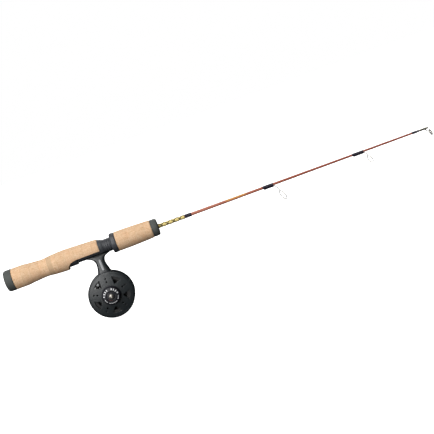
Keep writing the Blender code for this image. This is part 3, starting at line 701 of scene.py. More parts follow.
def carve_cork(grip, radius_at):
    """Press pores and sanded unevenness into the cork's outer surface."""
    for vertex in grip.data.vertices:
        x, y, z = vertex.co / MM
        radius = math.hypot(y, z)
        if radius < radius_at(x) - 0.25:
            continue
        pore = noise_at((0.30 * x, 0.62 * y, 0.62 * z))
        wave = noise_at((0.05 * x + 9.0, 0.09 * y, 0.09 * z))
        ring = abs((x / CORK_RING) % 1.0 - 0.5)
        sink = 0.55 * max(0.0, pore - 0.42) + 0.06 * (1.0 + wave)
        sink += 0.05 * max(0.0, (ring - 0.47) / 0.03)
        scale = 1.0 - min(sink, 0.3) / radius
        vertex.co = (x * MM, y * scale * MM, z * scale * MM)


def make_cork_grip(name, stations, inside):
    outline = smooth_through(stations, 0.7)
    edge = 0.5
    first = stations[0][0]
    last = stations[-1][0]
    outside = [(last, stations[-1][1] - edge)]
    outside += [p for p in reversed(outline) if first + edge <= p[0] <= last - edge]
    outside += [(first, stations[0][1] - edge)]
    grip = lathe(name, outside + inside, facets=150)

    def radius_at(x):
        nearest = min(outline, key=lambda p: abs(p[0] - x))
        return nearest[1]

    carve_cork(grip, radius_at)
    return grip


def make_rear_grip():
    bore = SEAT_BORE
    inside = [(REAR_START, BLANK_BORE), (SEAT_START - 0.3, BLANK_BORE), (SEAT_START - 0.3, bore),
              (REAR_HOOD_START - 0.3, bore), (REAR_HOOD_START - 0.3, REAR_HOOD_RADIUS + 0.3),
              (REAR_HOOD_END + 0.3, REAR_HOOD_RADIUS + 0.3), (REAR_HOOD_END + 0.3, bore),
              (REAR_END, bore)]
    grip = make_cork_grip("rear_grip_fine", REAR_GRIP_STATIONS, inside)
    rise = WINDOW_TOP + 11.5
    outline = []
    for i in range(25):
        a = math.radians(90.0 * i / 24)
        outline.append((WINDOW_START + WINDOW_ARC * (1 - math.cos(a)),
                        WINDOW_TOP - rise + rise * math.sin(a)))
    outline += [(REAR_END + 5.0, WINDOW_TOP), (REAR_END + 5.0, -20.0), (WINDOW_START, -20.0)]
    cut_with(grip, slab("window_tool", [outline], -20.0, 20.0))
    settle(grip, "cork", "root", "rear_grip")


def make_fore_grip():
    pocket = span("foregrip_nut", 2)[1] + 0.3
    floor = span("foregrip_nut", 0)[1] + 0.3
    inside = [(FORE_START, pocket), (floor, pocket), (floor, BLANK_BORE), (FORE_END, BLANK_BORE)]
    grip = make_cork_grip("fore_grip_fine", FORE_GRIP_STATIONS, inside)
    settle(grip, "cork", "fore_grip", "fore_grip")

    start = FRONT_CAP_START
    end = FRONT_CAP_END
    radius = FRONT_CAP_RADIUS
    profile = rounded((
        (start, radius - 0.4, 0.3), (start + 0.4, radius, 0.3), (end - 3.2, radius + 0.05, 1.2),
        (end - 0.3, radius - 1.0, 1.6), (end, radius - 3.4, 0.5), (end - 0.5, radius - 3.9, 0.3),
        (end - 0.5, 5.2, 0.3), (end, 4.7, 0.4), (end, BLANK_BORE), (start, BLANK_BORE)), 6)
    settle(lathe("front_cap_fine", profile, facets=128), "rubber", "fore_grip", "front_cap")


def make_seat():
    """The moulded seat: body, tapered collar with two grooves, and a real helical thread."""
    body = rounded((
        (SEAT_START, BLANK_BORE), (SEAT_START, SEAT_RADIUS, 0.4), (134.9, SEAT_RADIUS),
        (134.9, 11.3, 0.3), (136.6, 11.15, 0.3), (136.8, 10.75, 0.1), (137.2, 10.7, 0.1),
        (137.4, 10.95, 0.2), (139.2, 10.55, 0.2), (140.3, 10.2, 0.4), (140.6, SEAT_RADIUS, 0.2),
        (THREAD_START - 0.2, SEAT_RADIUS, 0.3), (THREAD_START, SEAT_RADIUS - THREAD_DEPTH),
        (THREAD_START, BLANK_BORE)), 5)
    facets = 112
    core = lathe("seat_body_fine", body, facets=facets)

    rows = []
    steps = int((SEAT_END - THREAD_START) / 0.25)
    for i in range(steps + 1):
        x = THREAD_START + (SEAT_END - THREAD_START) * i / steps
        row = []
        for k, a in enumerate(around(facets)):
            phase = (x / THREAD_PITCH - k / facets) % 1.0
            ridge = min(1.0, max(0.0, 2.2 * (1.0 - abs(2.0 * phase - 1.0)) - 0.45))
            run_in = min(1.0, (x - THREAD_START) / 1.5, (SEAT_END - x) / 1.5 + 0.3)
            radius = SEAT_RADIUS - THREAD_DEPTH * (1.0 - ridge * run_in)
            row.append((x, radius * math.cos(a), radius * math.sin(a)))
        rows.append(row)
    bore = [[(x, BLANK_BORE * math.cos(a), BLANK_BORE * math.sin(a)) for a in around(facets)]
            for x in (SEAT_END, THREAD_START)]
    thread = skin("seat_thread_fine", rows + bore, ring=True)

    for piece in (core, thread):
        flat = box("flat_tool", (REAR_HOOD_START - 1.0, -20.0, -20.0),
                   (158.0, 20.0, FOOT_TOP + 0.3))
        cut_with(piece, flat)
    settle(core, "seat_plastic", "root", "seat_body")
    settle(thread, "seat_plastic", "root", "seat_body")


def make_hoods():
    """Both hoods have rolled edges, and the front one has a narrow waist near its front end."""
    profile = rounded((
        (REAR_HOOD_START, SEAT_BORE, 0.2), (REAR_HOOD_START, REAR_HOOD_RADIUS, 0.7),
        (REAR_HOOD_END, REAR_HOOD_RADIUS, 0.9), (REAR_HOOD_END, SEAT_BORE, 0.2)), 6)
    settle(lathe("rear_hood_fine", profile), "seat_plastic", "root", "rear_hood")
    start = HOOD_START
    end = HOOD_END
    radius = HOOD_RADIUS
    profile = rounded((
        (start, SEAT_BORE, 0.2), (start, radius - 1.5, 0.4), (start + 0.7, radius - 0.5, 0.5),
        (start + 1.5, radius, 0.5), (end - 1.3, radius, 0.3), (end - 1.0, radius - 0.35, 0.2),
        (end - 0.7, radius - 0.05, 0.2), (end, radius - 0.3, 0.3), (end, SEAT_BORE, 0.2)), 6)
    settle(lathe("front_hood_fine", profile, facets=128), "seat_plastic", "front_hood",
           "front_hood")


# ---- Blank, thread wraps and line guides -----------------------------------------------------

def section_at(inner, grow, foot):
    """A thread's path round the blank, and round a foot wire (its height and radius) below."""
    if foot is None:
        return circle(inner + grow, WRAP_FACETS)
    low, foot_radius = foot
    section = []
    for a in around(WRAP_FACETS):
        y = math.cos(a)
        z = math.sin(a)
        if foot_radius + low * z > inner:
            section.append((y * (foot_radius + grow), low + z * (foot_radius + grow)))
        else:
            section.append((y * (inner + grow), z * (inner + grow)))
    return section


def wound(name, start, end, gap, thickness, foot=None):
    """Turns of thread on the blank, each one standing up as a ridge, with resin run-outs."""
    rows = []
    stations = []
    turns = round((end - start) / THREAD_WIDTH)
    for turn in range(turns):
        for part in range(4):
            x = start + (end - start) * (turn + part / 4) / turns
            crown = math.sin(math.pi * (part + 0.5) / 4)
            run_out = min(1.0, (x - start) / 0.5 + 0.35, (end - x) / 0.5 + 0.35)
            stations.append((x, thickness * run_out * (0.72 + 0.28 * crown)))
    stations.append((end, thickness * 0.3))
    for x, grow in stations:
        rows.append([(x, y, z) for y, z in section_at(blank_radius(x) + gap, grow, foot)])
    bore = [[(x, y, z) for y, z in section_at(blank_radius(x) + gap, 0.0, foot)]
            for x in (end, start)]
    return skin(name, rows + bore, ring=True, sharp=60.0)


def make_blank():
    """The tapered glass blank, its tip rounded."""
    tip = BLANK_STATIONS[-1]
    profile = [(BLANK_START, 0.0), (BLANK_START, BLANK_STATIONS[0][1])]
    x = BLANK_START + 2.0
    while x < tip[0] - 1.0:
        profile.append((x, blank_radius(x)))
        x += 6.0
    profile += [(tip[0] - 0.5, tip[1]), (tip[0] - 0.1, tip[1] * 0.6), (tip[0], 0.0)]
    settle(lathe("rod_blank_fine", profile, facets=48, ring=False), "blank", "root", "rod_blank")


LOZENGE = 8.8                 # length of one lozenge of the decorative winding
FIRST_CROSSING = 4.3          # from the winding's start to the first crossing in front
CROSS_THREADS = (-0.46, 0.0, 0.46)
CROSS_RISE = 0.36             # from the blank to the middle of a crossing thread
CROSS_WIRE = 0.24


def make_handle_wraps():
    """A gold underwrap with dark threads crossed over it in lozenges, and a plain trim wrap."""
    start, end = span("butt_wrap", 0)
    start -= WRAP_OVERRUN
    under = wound("butt_wrap_gold_fine", start, end, WRAP_GAP, 0.30)
    settle(under, "gold_thread", "root", "butt_wrap")
    threads = []
    for hand in (1.0, -1.0):
        for beside in CROSS_THREADS:
            for turn in (0.0, 180.0):
                path = []
                steps = 150
                for i in range(steps + 1):
                    x = start + 0.4 + (end - start - 0.8) * i / steps
                    along = x + beside * hand - start - FIRST_CROSSING
                    a = math.radians(turn) + hand * math.pi * along / LOZENGE + math.pi
                    radius = blank_radius(x) + CROSS_RISE
                    path.append((x, radius * math.cos(a), radius * math.sin(a)))
                threads.append(sweep("cross_thread", path, CROSS_WIRE, sides=8))
    for x in (start + 0.3, end - 0.4):
        ring = [(x, y, z) for y, z in circle(blank_radius(x) + CROSS_RISE, 40)]
        threads.append(sweep("cross_thread", ring, CROSS_WIRE, sides=8, closed=True))
    settle(merge("butt_wrap_cross_fine", threads), "olive_thread", "root", "butt_wrap")

    start, end = span("trim_wrap", 0)
    dark = wound("trim_wrap_fine", start, end, WRAP_GAP, 0.4)
    settle(dark, "navy_thread", "root", "trim_wrap")


GUIDE_LEAN = 17.0
GUIDE_TWIST = 25.0            # the wire loops stand out of square with the rod
TIP_TWIST = -25.0
TIP_LEAN = 18.0
TIP_DIAMETER = 8.7
TIP_WIRE = 0.5
TIP_BRACE_X = 602.5           # where the brace wire's two legs leave the tip tube
TIP_BRACE_WIRE = 0.4
TIP_BORE = 1.1
GUIDES = (
    # name, X and Z of the ring's centre, its outer diameter, wire radius
    ("guide_1", 393.8, -18.2, 14.6, 0.55),
    ("guide_2", 521.6, -13.2, 11.5, 0.5))


def ring_frame(x, z, lean, twist):
    return (Matrix.Translation(Vector((x, 0.0, z)))
            @ Matrix.Rotation(math.radians(twist), 4, "Z")
            @ Matrix.Rotation(-math.radians(lean), 4, "Y"))


def ring_path(place, radius, count):
    return [place @ Vector((0.0, y, z)) for y, z in circle(radius, count)]


def make_guide(name, ring_x, ring_z, diameter, wire):
    """A single-foot guide: foot, bent leg, brazed wire ring, thread wrap and its trim."""
    wrap_start, wrap_end = span(name + "_wrap", 0)
    rod = blank_radius(wrap_start)
    foot_z = -(rod + 0.2 + wire)
    tilt = math.radians(GUIDE_LEAN)
    ring_radius = diameter / 2 - wire
    reach = ring_radius + wire * 1.5
    top = Vector((ring_x - reach * math.sin(tilt), 0.0, ring_z + reach * math.cos(tilt)))
    foot_end = Vector((wrap_end + 1.0, 0.0, foot_z))
    bend = Vector((wrap_end + 3.0, 0.0, foot_z - 1.2))
    path = [(wrap_start + 1.5 + i * (wrap_end - wrap_start - 0.5) / 6, 0.0, foot_z)
            for i in range(6)]
    radii = [wire * (0.35 + 0.65 * min(1.0, i / 3)) for i in range(6)]
    for i in range(25):
        t = i / 24
        path.append(foot_end * (1 - t) ** 2 + bend * 2 * t * (1 - t) + top * t * t)
        radii.append(wire)
    leg = sweep(name + "_leg", path, radii)
    braze = sweep(name + "_braze", [top + Vector((0.0, dy * wire, -abs(dy) * wire * 0.35))
                                    for dy in (-2.6, -1.6, -0.6, 0.0, 0.6, 1.6, 2.6)],
                  [wire * r for r in (0.3, 0.75, 1.05, 1.15, 1.05, 0.75, 0.3)], sides=14)
    settle(merge(name + "_frame_fine", [leg, braze]), "guide_wire", "root", name + "_frame")

    place = ring_frame(ring_x, ring_z, GUIDE_LEAN, GUIDE_TWIST)
    loop = sweep(name + "_ring_fine", ring_path(place, ring_radius, 96), wire, closed=True)
    settle(loop, "guide_wire", "root", name + "_ring")

    foot = (foot_z, wire)
    wrap = wound(name + "_wrap_fine", wrap_start, wrap_end - 0.2, GUIDE_WRAP_GAP, 0.34, foot)
    settle(wrap, "navy_thread", "root", name + "_wrap")
    trim = wound(name + "_trim_fine", wrap_start - 1.5, wrap_start - 0.1, GUIDE_WRAP_GAP, 0.2)
    settle(trim, "navy_thread", "root", name + "_wrap")


def make_tip_top():
    """The tip-top: its wrap, the stepped tube, the wire loop and the brace wire behind it."""
    start, end = span("tip_wrap", 0)
    wrap = wound("tip_wrap_fine", start, end, GUIDE_WRAP_GAP,
                 span("tip_wrap", 2)[1] - blank_radius(start) - 0.05)
    settle(wrap, "navy_thread", "root", "tip_wrap")

    start, end = span("tip_tube", 0)
    outer = span("tip_tube", 2)[1]
    bore_end = BLANK_END + 0.3
    profile = rounded((
        (end, 0.0), (end, outer - 0.4, 0.5), (end - 1.1, outer, 0.8), (end - 2.0, outer, 0.2),
        (end - 2.2, outer - 0.12, 0.1), (end - 2.5, outer - 0.12, 0.1), (end - 2.7, outer, 0.2),
        (start + 0.3, outer, 0.1), (start, outer - 0.1, 0.1), (start, TIP_BORE),
        (bore_end, TIP_BORE), (bore_end, 0.0)), 4)
    settle(lathe("tip_tube_fine", profile, facets=48, ring=False), "brass", "root", "tip_tube")

    low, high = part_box("tip_ring")
    middle = (low + high) / (2 * MM)
    place = ring_frame(middle[0], middle[2], TIP_LEAN, TIP_TWIST)
    ring_radius = TIP_DIAMETER / 2 - TIP_WIRE
    loop = sweep("tip_ring_fine", ring_path(place, ring_radius, 80), TIP_WIRE, closed=True)
    settle(loop, "guide_wire", "root", "tip_ring")

    hold = ring_radius + TIP_WIRE + TIP_BRACE_WIRE + 0.15
    root = Vector((TIP_BRACE_X, outer + TIP_BRACE_WIRE + 0.02, 0.0))
    leg = [root + Vector((-2.5, 0.0, 0.0)), root]
    other_leg = [Vector((p.x, -p.y, p.z)) for p in reversed(leg)]
    cradle = [place @ Vector((-0.9, hold * math.cos(a), hold * math.sin(a)))
              for a in (math.radians(d) for d in range(10, -191, -20))]
    route = curve_through(leg + cradle + other_leg, 6)
    brace = sweep("tip_brace_fine", route, TIP_BRACE_WIRE, sides=12)
    settle(brace, "guide_wire", "root", "tip_brace")


# ---- Reel ------------------------------------------------------------------------------------

REEL_PLANE = (REEL_X, REEL_Z)
PLATE_RADIUS = RIM_RADIUS - RIM_BAND
PLATE_INNER = -8.0
OPEN_START = 7.5
OPEN_BORE = 26.8


def reel_lathe(name, profile, facets=96, ring=True):
    return lathe(name, profile, "Y", REEL_CENTRE, facets, ring)


def reel_slab(name, outlines, near, far, edge=0.0):
    return slab(name, outlines, near, far, REEL_PLANE, edge)


def on_reel(radius, angle):
    """The point at a radius and an angle (in degrees) about the reel's axis."""
    a = math.radians(angle)
    return REEL_X + radius * math.cos(a), 0.0, REEL_Z + radius * math.sin(a)


def softened(outline, radius, steps=4):
    """Round the corners of a flat outline."""
    return rounded([(x, z, radius) for x, z in outline], steps)


def port_outline():
    outer = arc(PORT_OUTER, -PORT_HALF_ANGLE, PORT_HALF_ANGLE, 13)
    apex = arc(1.3, 125.0, 235.0, 7, (PORT_INNER + 1.3, 0.0))
    return outer + apex


def crown(radius):
    """Y of the side plate's crowned outer face at a distance from the hub."""
    return PLATE_OUTER + DOME * (radius / RIM_RADIUS) ** 2


def make_side_plate():
    """The ported plate, crowned over its face, inside a bevelled rim."""
    outlines = [circle(PLATE_RADIUS + 0.25, 144), circle(4.2, 40)]
    for i in range(PORT_COUNT):
        step = 360.0 * i / PORT_COUNT
        port = softened(port_outline(), 0.8, 2)
        outlines.append(spun(port, PORT_FIRST_ANGLE + step))
        for radius in PIN_HOLE_CIRCLES:
            hole = circle(PIN_HOLE_RADIUS, 20, (radius, 0.0))
            outlines.append(spun(hole, PORT_FIRST_ANGLE + step + 180.0 / PORT_COUNT))
    plate = reel_slab("side_plate_fine", outlines, PLATE_OUTER, PLATE_INNER, 0.3)
    shape = bmesh.new()
    shape.from_mesh(plate.data)
    spacing = 1.6
    count = int(2 * PLATE_RADIUS / spacing)
    for axis, middle in ((Vector((1, 0, 0)), REEL_X), (Vector((0, 0, 1)), REEL_Z)):
        for i in range(1, count):
            place = axis * (middle - PLATE_RADIUS + spacing * i) * MM
            parts = shape.verts[:] + shape.edges[:] + shape.faces[:]
            bmesh.ops.bisect_plane(shape, geom=parts, plane_co=place, plane_no=axis,
                                   dist=0.000001)
    for vertex in shape.verts:
        offset = vertex.co / MM - Vector(REEL_CENTRE)
        radius = math.hypot(offset.x, offset.z)
        depth = (PLATE_INNER - offset.y) / (PLATE_INNER - PLATE_OUTER)
        vertex.co.y += depth * (crown(radius) - PLATE_OUTER) * MM
    shape.to_mesh(plate.data)
    shape.free()
    plate.data.shade_smooth()
    plate.data.set_sharp_from_angle(angle=math.radians(32.0))
    settle(plate, "graphite", "root", "reel_frame")

    lip = crown(PLATE_RADIUS)
    rim = rounded((
        (PLATE_INNER, PLATE_RADIUS), (lip + 0.45, PLATE_RADIUS, 0.1), (lip - 0.1, PLATE_RADIUS, 0.25),
        (lip + 0.05, PLATE_RADIUS + 0.5, 0.2), (lip + 0.95, RIM_RADIUS - 0.25, 0.7),
        (lip + 1.2, RIM_RADIUS, 0.2), (PLATE_INNER + 0.15, RIM_RADIUS, 0.15),
        (PLATE_INNER, RIM_RADIUS - 0.2, 0.1)), 5)
    settle(reel_lathe("plate_rim_fine", rim, 144), "graphite", "root", "reel_frame")


def make_cage():
    """The open ring on the crank side, the pillars, and the bridge that carries the stem."""
    end = OPEN_END
    ring = rounded((
        (OPEN_START, OPEN_BORE, 0.4), (OPEN_START, RIM_RADIUS, 0.5), (end, RIM_RADIUS, 0.9),
        (end, OPEN_BORE, 0.6)), 6)
    settle(reel_lathe("open_ring_fine", ring, 144), "graphite", "root", "reel_frame")
    pillars = []
    for angle in PILLAR_ANGLES:
        centre = on_reel(PILLAR_CIRCLE, angle)
        profile = rounded((
            (-8.4, 0.0), (-8.4, 1.75), (-7.9, 1.75, 0.2), (-6.6, 1.3, 0.6), (5.6, 1.3, 0.6),
            (6.9, 1.75, 0.3), (8.0, 1.75), (8.0, 0.0)), 4)
        pillars.append(lathe("pillar", profile, "Y", centre, 32, False))
        head = rounded((
            (9.6, 0.0), (9.6, 1.5), (10.0, 1.5, 0.2), (10.25, 1.15, 0.3), (10.3, 0.6, 0.1),
            (10.0, 0.5), (10.0, 0.0)), 3)
        screw = lathe("cage_screw_%d_fine" % len(pillars), head, "Y", centre, 24, False)
        settle(screw, "steel", "root", "reel_frame")
    settle(merge("cage_pillars_fine", pillars), "graphite", "root", "reel_frame")
    half = BRIDGE_HALF_ANGLE
    outline = (arc(RIM_RADIUS - 0.15, 90.0 - half, 90.0 + half, 17)
               + arc(OPEN_BORE + 0.4, 90.0 + half, 90.0 - half, 17))
    bridge = reel_slab("cage_bridge_fine", [softened(outline, 0.6, 3)],
                       -BRIDGE_HALF_DEPTH, BRIDGE_HALF_DEPTH, 0.25)
    settle(bridge, "graphite", "root", "reel_frame")


def make_stem():
    """The stem, lofted from the foot to the bridge, with a raised rib on its broad side."""
    rows = []
    for drop, rear, front, depth in smooth_through(STEM_SECTIONS, 0.5):
        row = []
        for a in around(72):
            c = math.cos(a)
            s = math.sin(a)
            x = (rear + front) / 2 + (front - rear) / 2 * math.copysign(abs(c) ** STEM_SQUARENESS, c)
            y = depth * math.copysign(abs(s) ** STEM_SQUARENESS, s)
            row.append((x, y, -drop))
        rows.append(row)
    stem = skin("stem_fine", rows, sharp=50.0)
    surface = BVHTree.FromPolygons([v.co for v in stem.data.vertices],
                                   [p.vertices for p in stem.data.polygons])
    settle(stem, "graphite", "root", "reel_frame")

    # A raised bead in dark plastic along the rim, standing in for the painted shade line where the
    # stem meets the plate.
    shade_line_path = []
    for x, z in arc(RIM_RADIUS + 0.35, *STEM_SHADE_LINE_ANGLES, 40):
        start = Vector((REEL_X + x, -60.0, REEL_Z + z)) * MM
        hit = surface.ray_cast(start, Vector((0, 1, 0)))[0]
        if hit is not None:
            shade_line_path.append(hit / MM)
    bead = sweep("stem_shade_line_bead_fine", shade_line_path, 0.5, sides=10)
    settle(bead, "label_plastic", "root", "reel_frame")

    rib = []
    for i in range(41):
        t = i / 40
        z = -RIB_TOP - RIB_LENGTH * t
        depth = level(STEM_SECTIONS, -z, 3)
        width = RIB_HALF_WIDTH * min(1.0, (0.5 - abs(t - 0.5)) * 14 + 0.25)
        x = 129.6 + 0.6 * t
        rib.append([(x - width, -depth + 0.3, z), (x - width, -depth - 0.25, z),
                    (x - width + 0.3, -depth - 0.45, z), (x + width - 0.3, -depth - 0.45, z),
                    (x + width, -depth - 0.25, z), (x + width, -depth + 0.3, z)])
    settle(skin("stem_rib_fine", rib, sharp=50.0), "grey_print", "root", "reel_frame")


def make_foot():
    """The reel's foot: a saddle with tapered tongues that fills out the seat's round."""
    profile = rounded((
        (156.0, 0.0), (156.0, 8.3, 0.6), (149.0, SEAT_RADIUS, 2.0), (99.5, SEAT_RADIUS, 2.0),
        (98.8, 9.1, 0.4), (92.6, 8.5, 0.6), (92.3, 0.0)), 5)
    foot = lathe("foot_fine", profile, facets=128, ring=False)
    cut_with(foot, box("foot_tool", (80.0, -20.0, FOOT_TOP), (170.0, 20.0, 20.0)))
    settle(foot, "graphite", "root", "reel_frame")


LABEL_TOP = -17.7             # Y of the label cone at its outer edge
LABEL_RISE = 1.4
LABEL_OUTER = 11.4
LABEL_INNER = 7.2


def label_mark(r0, r1, start, end, proud=0.1):
    """A flat mark on the hub's label cone, between two radii and two angles."""
    rows = []
    count = max(2, round((end - start) / 3.0))
    for i in range(count + 1):
        a = math.radians(start + (end - start) * i / count)
        row = []
        for radius, side in ((r0, 1.0), (r1, 1.0), (r1, -1.0), (r0, -1.0)):
            slope = (LABEL_OUTER - radius) / (LABEL_OUTER - LABEL_INNER)
            y = LABEL_TOP - LABEL_RISE * slope - side * proud
            row.append((REEL_X + radius * math.cos(a), y, REEL_Z + radius * math.sin(a)))
        rows.append(row)
    return skin("mark", rows)


def make_hub():
    """The stepped label disc with its printed marks, and the domed screw with a hex socket."""
    top = HUB_BASE
    seat = crown(HUB_RADIUS)
    cover = rounded((
        (seat, HUB_RADIUS - 1.6), (seat, HUB_RADIUS, 0.1), (top - 1.2, HUB_RADIUS, 0.4),
        (top - 1.5, HUB_RADIUS - 0.5, 0.2), (top - 5.6, LABEL_OUTER + 0.55, 0.4),
        (LABEL_TOP, LABEL_OUTER, 0.25), (LABEL_TOP - LABEL_RISE, LABEL_INNER, 0.3),
        (top - 6.2, 6.3, 0.3), (top - 6.2, 5.0, 0.3), (HUB_TOP, 4.6, 0.4), (HUB_TOP, 1.9, 0.2),
        (top - 5.2, 1.9), (top - 5.2, 10.6)), 5)
    settle(reel_lathe("hub_cover_fine", cover, 128), "label_plastic", "root", "hub_cover")

    marks = []
    for side in (1.0, -1.0):
        for offset in (20.0, 38.0, 56.0):
            middle = 90.0 + side * offset
            marks.append(label_mark(8.3, 10.8, middle - 3.4, middle + 3.4))
        middle = 90.0 + side * 77.0
        marks.append(label_mark(8.9, 10.5, middle - 4.6, middle + 4.6))
    for start, end in ((190.0, 222.0), (236.0, 304.0), (318.0, 350.0)):
        marks.append(label_mark(9.3, 10.0, start, end))
    settle(merge("hub_marks_fine", marks), "white_print", "root", "hub_cover")

    red = []
    for start in (218.0, 236.0, 254.0):
        end = start + 12.0
        corners = (on_reel(5.2, start), on_reel(5.2, end), on_reel(6.1, end), on_reel(6.1, start))
        red.append(skin("dab", [[(x, y, z) for x, _, z in corners]
                                for y in (top - 6.35, top - 6.1)]))
    settle(merge("hub_dabs_fine", red), "red_print", "root", "hub_cover")

    head = span("hub_screw", 1)[0] + 2.6
    dome = [(head - 2.6 * math.sin(math.radians(a)), 3.5 * math.cos(math.radians(a)))
            for a in range(10, 91, 8)]
    profile = [(-12.6, 0.0), (-12.6, 1.5), (head, 1.5), (head, 3.3), (head - 0.15, 3.5)] + dome
    screw = reel_lathe("hub_screw_fine", profile[:-1] + [(dome[-1][0], 0.0)], 64, False)
    socket = reel_slab("socket_tool", [arc(1.5, 15.0, 315.0, 6)], head - 4.0, head - 1.3)
    cut_with(screw, socket)
    settle(screw, "dull_steel", "root", "hub_screw")


def make_spool():
    """A large-arbor spool: rolled flanges, a web with windows, a line-tie stud and rivets."""
    near = -7.4
    far = 6.2
    web = -1.6
    rim = 1.1
    bore = 6.7
    arbor = 22.5
    arbor_bore = 21.2
    radius = SPOOL_RADIUS
    profile = rounded((
        (far, radius, 0.5), (far - rim, radius, 0.4), (far - rim, arbor, 0.6),
        (near + rim, arbor, 0.6), (near + rim, radius, 0.4), (near, radius, 0.5),
        (near, arbor_bore, 0.5), (web, arbor_bore, 0.9), (web, bore, 0.3), (far, bore, 0.3),
        (far, 9.2, 0.5), (0.0, 9.2, 0.9), (0.0, arbor_bore, 0.9), (far, arbor_bore, 0.5)), 5)
    spool = reel_lathe("spool_fine", profile, 144)
    window = (arc(SPOOL_WINDOW_OUTER, -26.0, 26.0, 15)
              + arc(SPOOL_WINDOW_INNER, 20.0, -20.0, 11))
    windows = [spun(softened(window, 1.2, 4), SPOOL_PHASE + 360.0 / SPOOL_WINDOWS * i)
               for i in range(SPOOL_WINDOWS)]
    cut_with(spool, reel_slab("window_tool", windows, -3.0, 2.0))
    settle(spool, "spool_graphite", "spool", "spool")
    stud = rounded(((near + 0.2, 0.0), (near + 0.2, 1.8), (near - 0.05, 1.8, 0.2),
                    (near - 0.4, 1.3, 0.3), (near - 0.5, 0.0)), 4)
    tie = lathe("line_tie_stud_fine", stud, "Y", on_reel(LINE_TIE_CIRCLE, LINE_TIE_ANGLE),
                32, False)
    settle(tie, "grey_print", "spool", "spool")
    for number, (radius, angle, face) in enumerate(SPOOL_RIVETS, 1):
        head = rounded(((face + 0.3, 0.0), (face + 0.3, 1.1), (face, 1.1, 0.1),
                        (face - 0.35, 0.7, 0.3), (face - 0.4, 0.0)), 4)
        rivet = lathe("spool_rivet_%d_fine" % number, head, "Y", on_reel(radius, angle),
                      24, False)
        settle(rivet, "white_print", "spool", "spool")


def make_drag_star():
    """A star wheel with rounded arms, and the boss that it turns on."""
    outline = []
    for a in around(160):
        radius = STAR_RADIUS + STAR_WAVE * math.cos(STAR_ARMS * a)
        outline.append((radius * math.cos(a), radius * math.sin(a)))
    near, far = span("drag_star", 1)
    star = reel_slab("drag_star_fine", [outline, circle(6.7, 64)], near, far, 0.5)
    boss = rounded(((far - 0.6, 6.7), (far - 0.6, 9.0), (far + 0.5, 8.6, 0.3),
                    (far + 0.5, 6.7, 0.2)), 4)
    hub = reel_lathe("star_boss", boss, 64)
    settle(merge("drag_star_fine", [star, hub]), "graphite", "drag_star", "drag_star")


def make_crank():
    """The two-ended bar, its capped nut, and the two knobs on their slotted screws."""
    near, far = span("crank_arm", 1)
    bar = (arc(CRANK_END_RADIUS, -90.0, 90.0, 25, (KNOB_CIRCLE, 0.0))
           + arc(CRANK_HUB_RADIUS, 35.0, 145.0, 25)
           + arc(CRANK_END_RADIUS, 90.0, 270.0, 25, (-KNOB_CIRCLE, 0.0))
           + arc(CRANK_HUB_RADIUS, 215.0, 325.0, 25))
    outlines = [bar, circle(5.3, 48), circle(1.8, 24, (KNOB_CIRCLE, 0.0)),
                circle(1.8, 24, (-KNOB_CIRCLE, 0.0))]
    for side in (1.0, -1.0):
        outlines.append(circle(1.3, 20, (side * 11.6, 0.0)))
    arm = reel_slab("crank_arm_fine", [spun(outline, CRANK_ANGLE) for outline in outlines],
                    near, far, 0.4)
    settle(arm, "steel", "crank", "crank_arm")

    near, far = span("crank_nut", 1)
    hexagon = softened(circle(CRANK_HUB_RADIUS, 6), 0.5, 3)
    nut = reel_slab("crank_nut_fine", [hexagon, circle(5.5, 48)], near, near + 1.9, 0.3)
    cap = rounded(((near + 1.2, 0.0), (near + 1.2, 5.9), (near + 1.9, 5.9, 0.2),
                   (far - 0.5, 4.6, 0.6), (far, 2.6, 0.6), (far - 0.4, 1.4, 0.2), (far - 0.4, 0.0)), 4)
    dome = reel_lathe("nut_cap", cap, 64, False)
    settle(merge("crank_nut_fine", [nut, dome]), "steel", "crank", "crank_nut")

    for number, side in ((1, 1.0), (2, -1.0)):
        centre = on_reel(side * KNOB_CIRCLE, CRANK_ANGLE)
        screw_name = "knob_screw_%d" % number
        knob_name = "crank_knob_%d" % number
        start, end = span(screw_name, 1)
        shank = rounded((
            (end - 0.1, 0.0), (end, 1.2, 0.5), (end - 0.35, 2.2, 0.4), (end - 1.3, 2.6, 0.3),
            (end - 1.7, 2.5, 0.1), (end - 1.7, 1.5, 0.1), (start + 0.7, 1.5, 0.1),
            (start + 0.7, 2.5, 0.2), (start, 2.2, 0.2), (start, 0.0)), 4)
        screw = lathe(screw_name + "_fine", shank, "Y", centre, 48, False)
        slot = box("slot_tool", (centre[0] - 4.0, end - 0.6, centre[2] - 0.4),
                   (centre[0] + 4.0, end + 1.0, centre[2] + 0.4))
        cut_with(screw, slot)
        settle(screw, "steel", "crank", screw_name)
        low, high = span(knob_name, 1)
        body = [(high, 1.8, 0.2), (high, 3.4, 0.4), (high - 0.8, 4.8, 0.8)]
        for groove in range(4):
            y = high - 3.0 - groove * 1.5
            body += [(y + 0.4, 5.55, 0.3), (y, 5.15, 0.3), (y - 0.4, 5.5, 0.3)]
        body += [(low + 3.7, 4.1, 1.6), (low + 1.2, 4.4, 0.8), (low + 0.3, 5.0, 0.4),
                 (low, 4.7, 0.2), (low, 1.8, 0.2)]
        knob = lathe(knob_name + "_fine", rounded(body, 4), "Y", centre, 64)
        settle(knob, "rubber", knob_name, knob_name)


CARRIED_OVER = {
    "foregrip_nut": "seat_plastic", "spindle": "steel", "drive_sleeve": "brass",
    "inner_bearing": "steel", "outer_bearing": "steel", "ratchet_wheel": "steel",
    "anti_reverse_pawl": "steel", "pawl_pin": "steel", "inner_drag_washer": "washer",
    "outer_drag_washer": "washer", "keyed_washer": "steel"}


def finish_carried_over():
    """Inner parts keep their CAD shape and get the finishes above."""
    for name, look in CARRIED_OVER.items():
        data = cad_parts[name].data
        data.materials.clear()
        data.materials.append(LOOKS[look])


# ---- Studio ----------------------------------------------------------------------------------

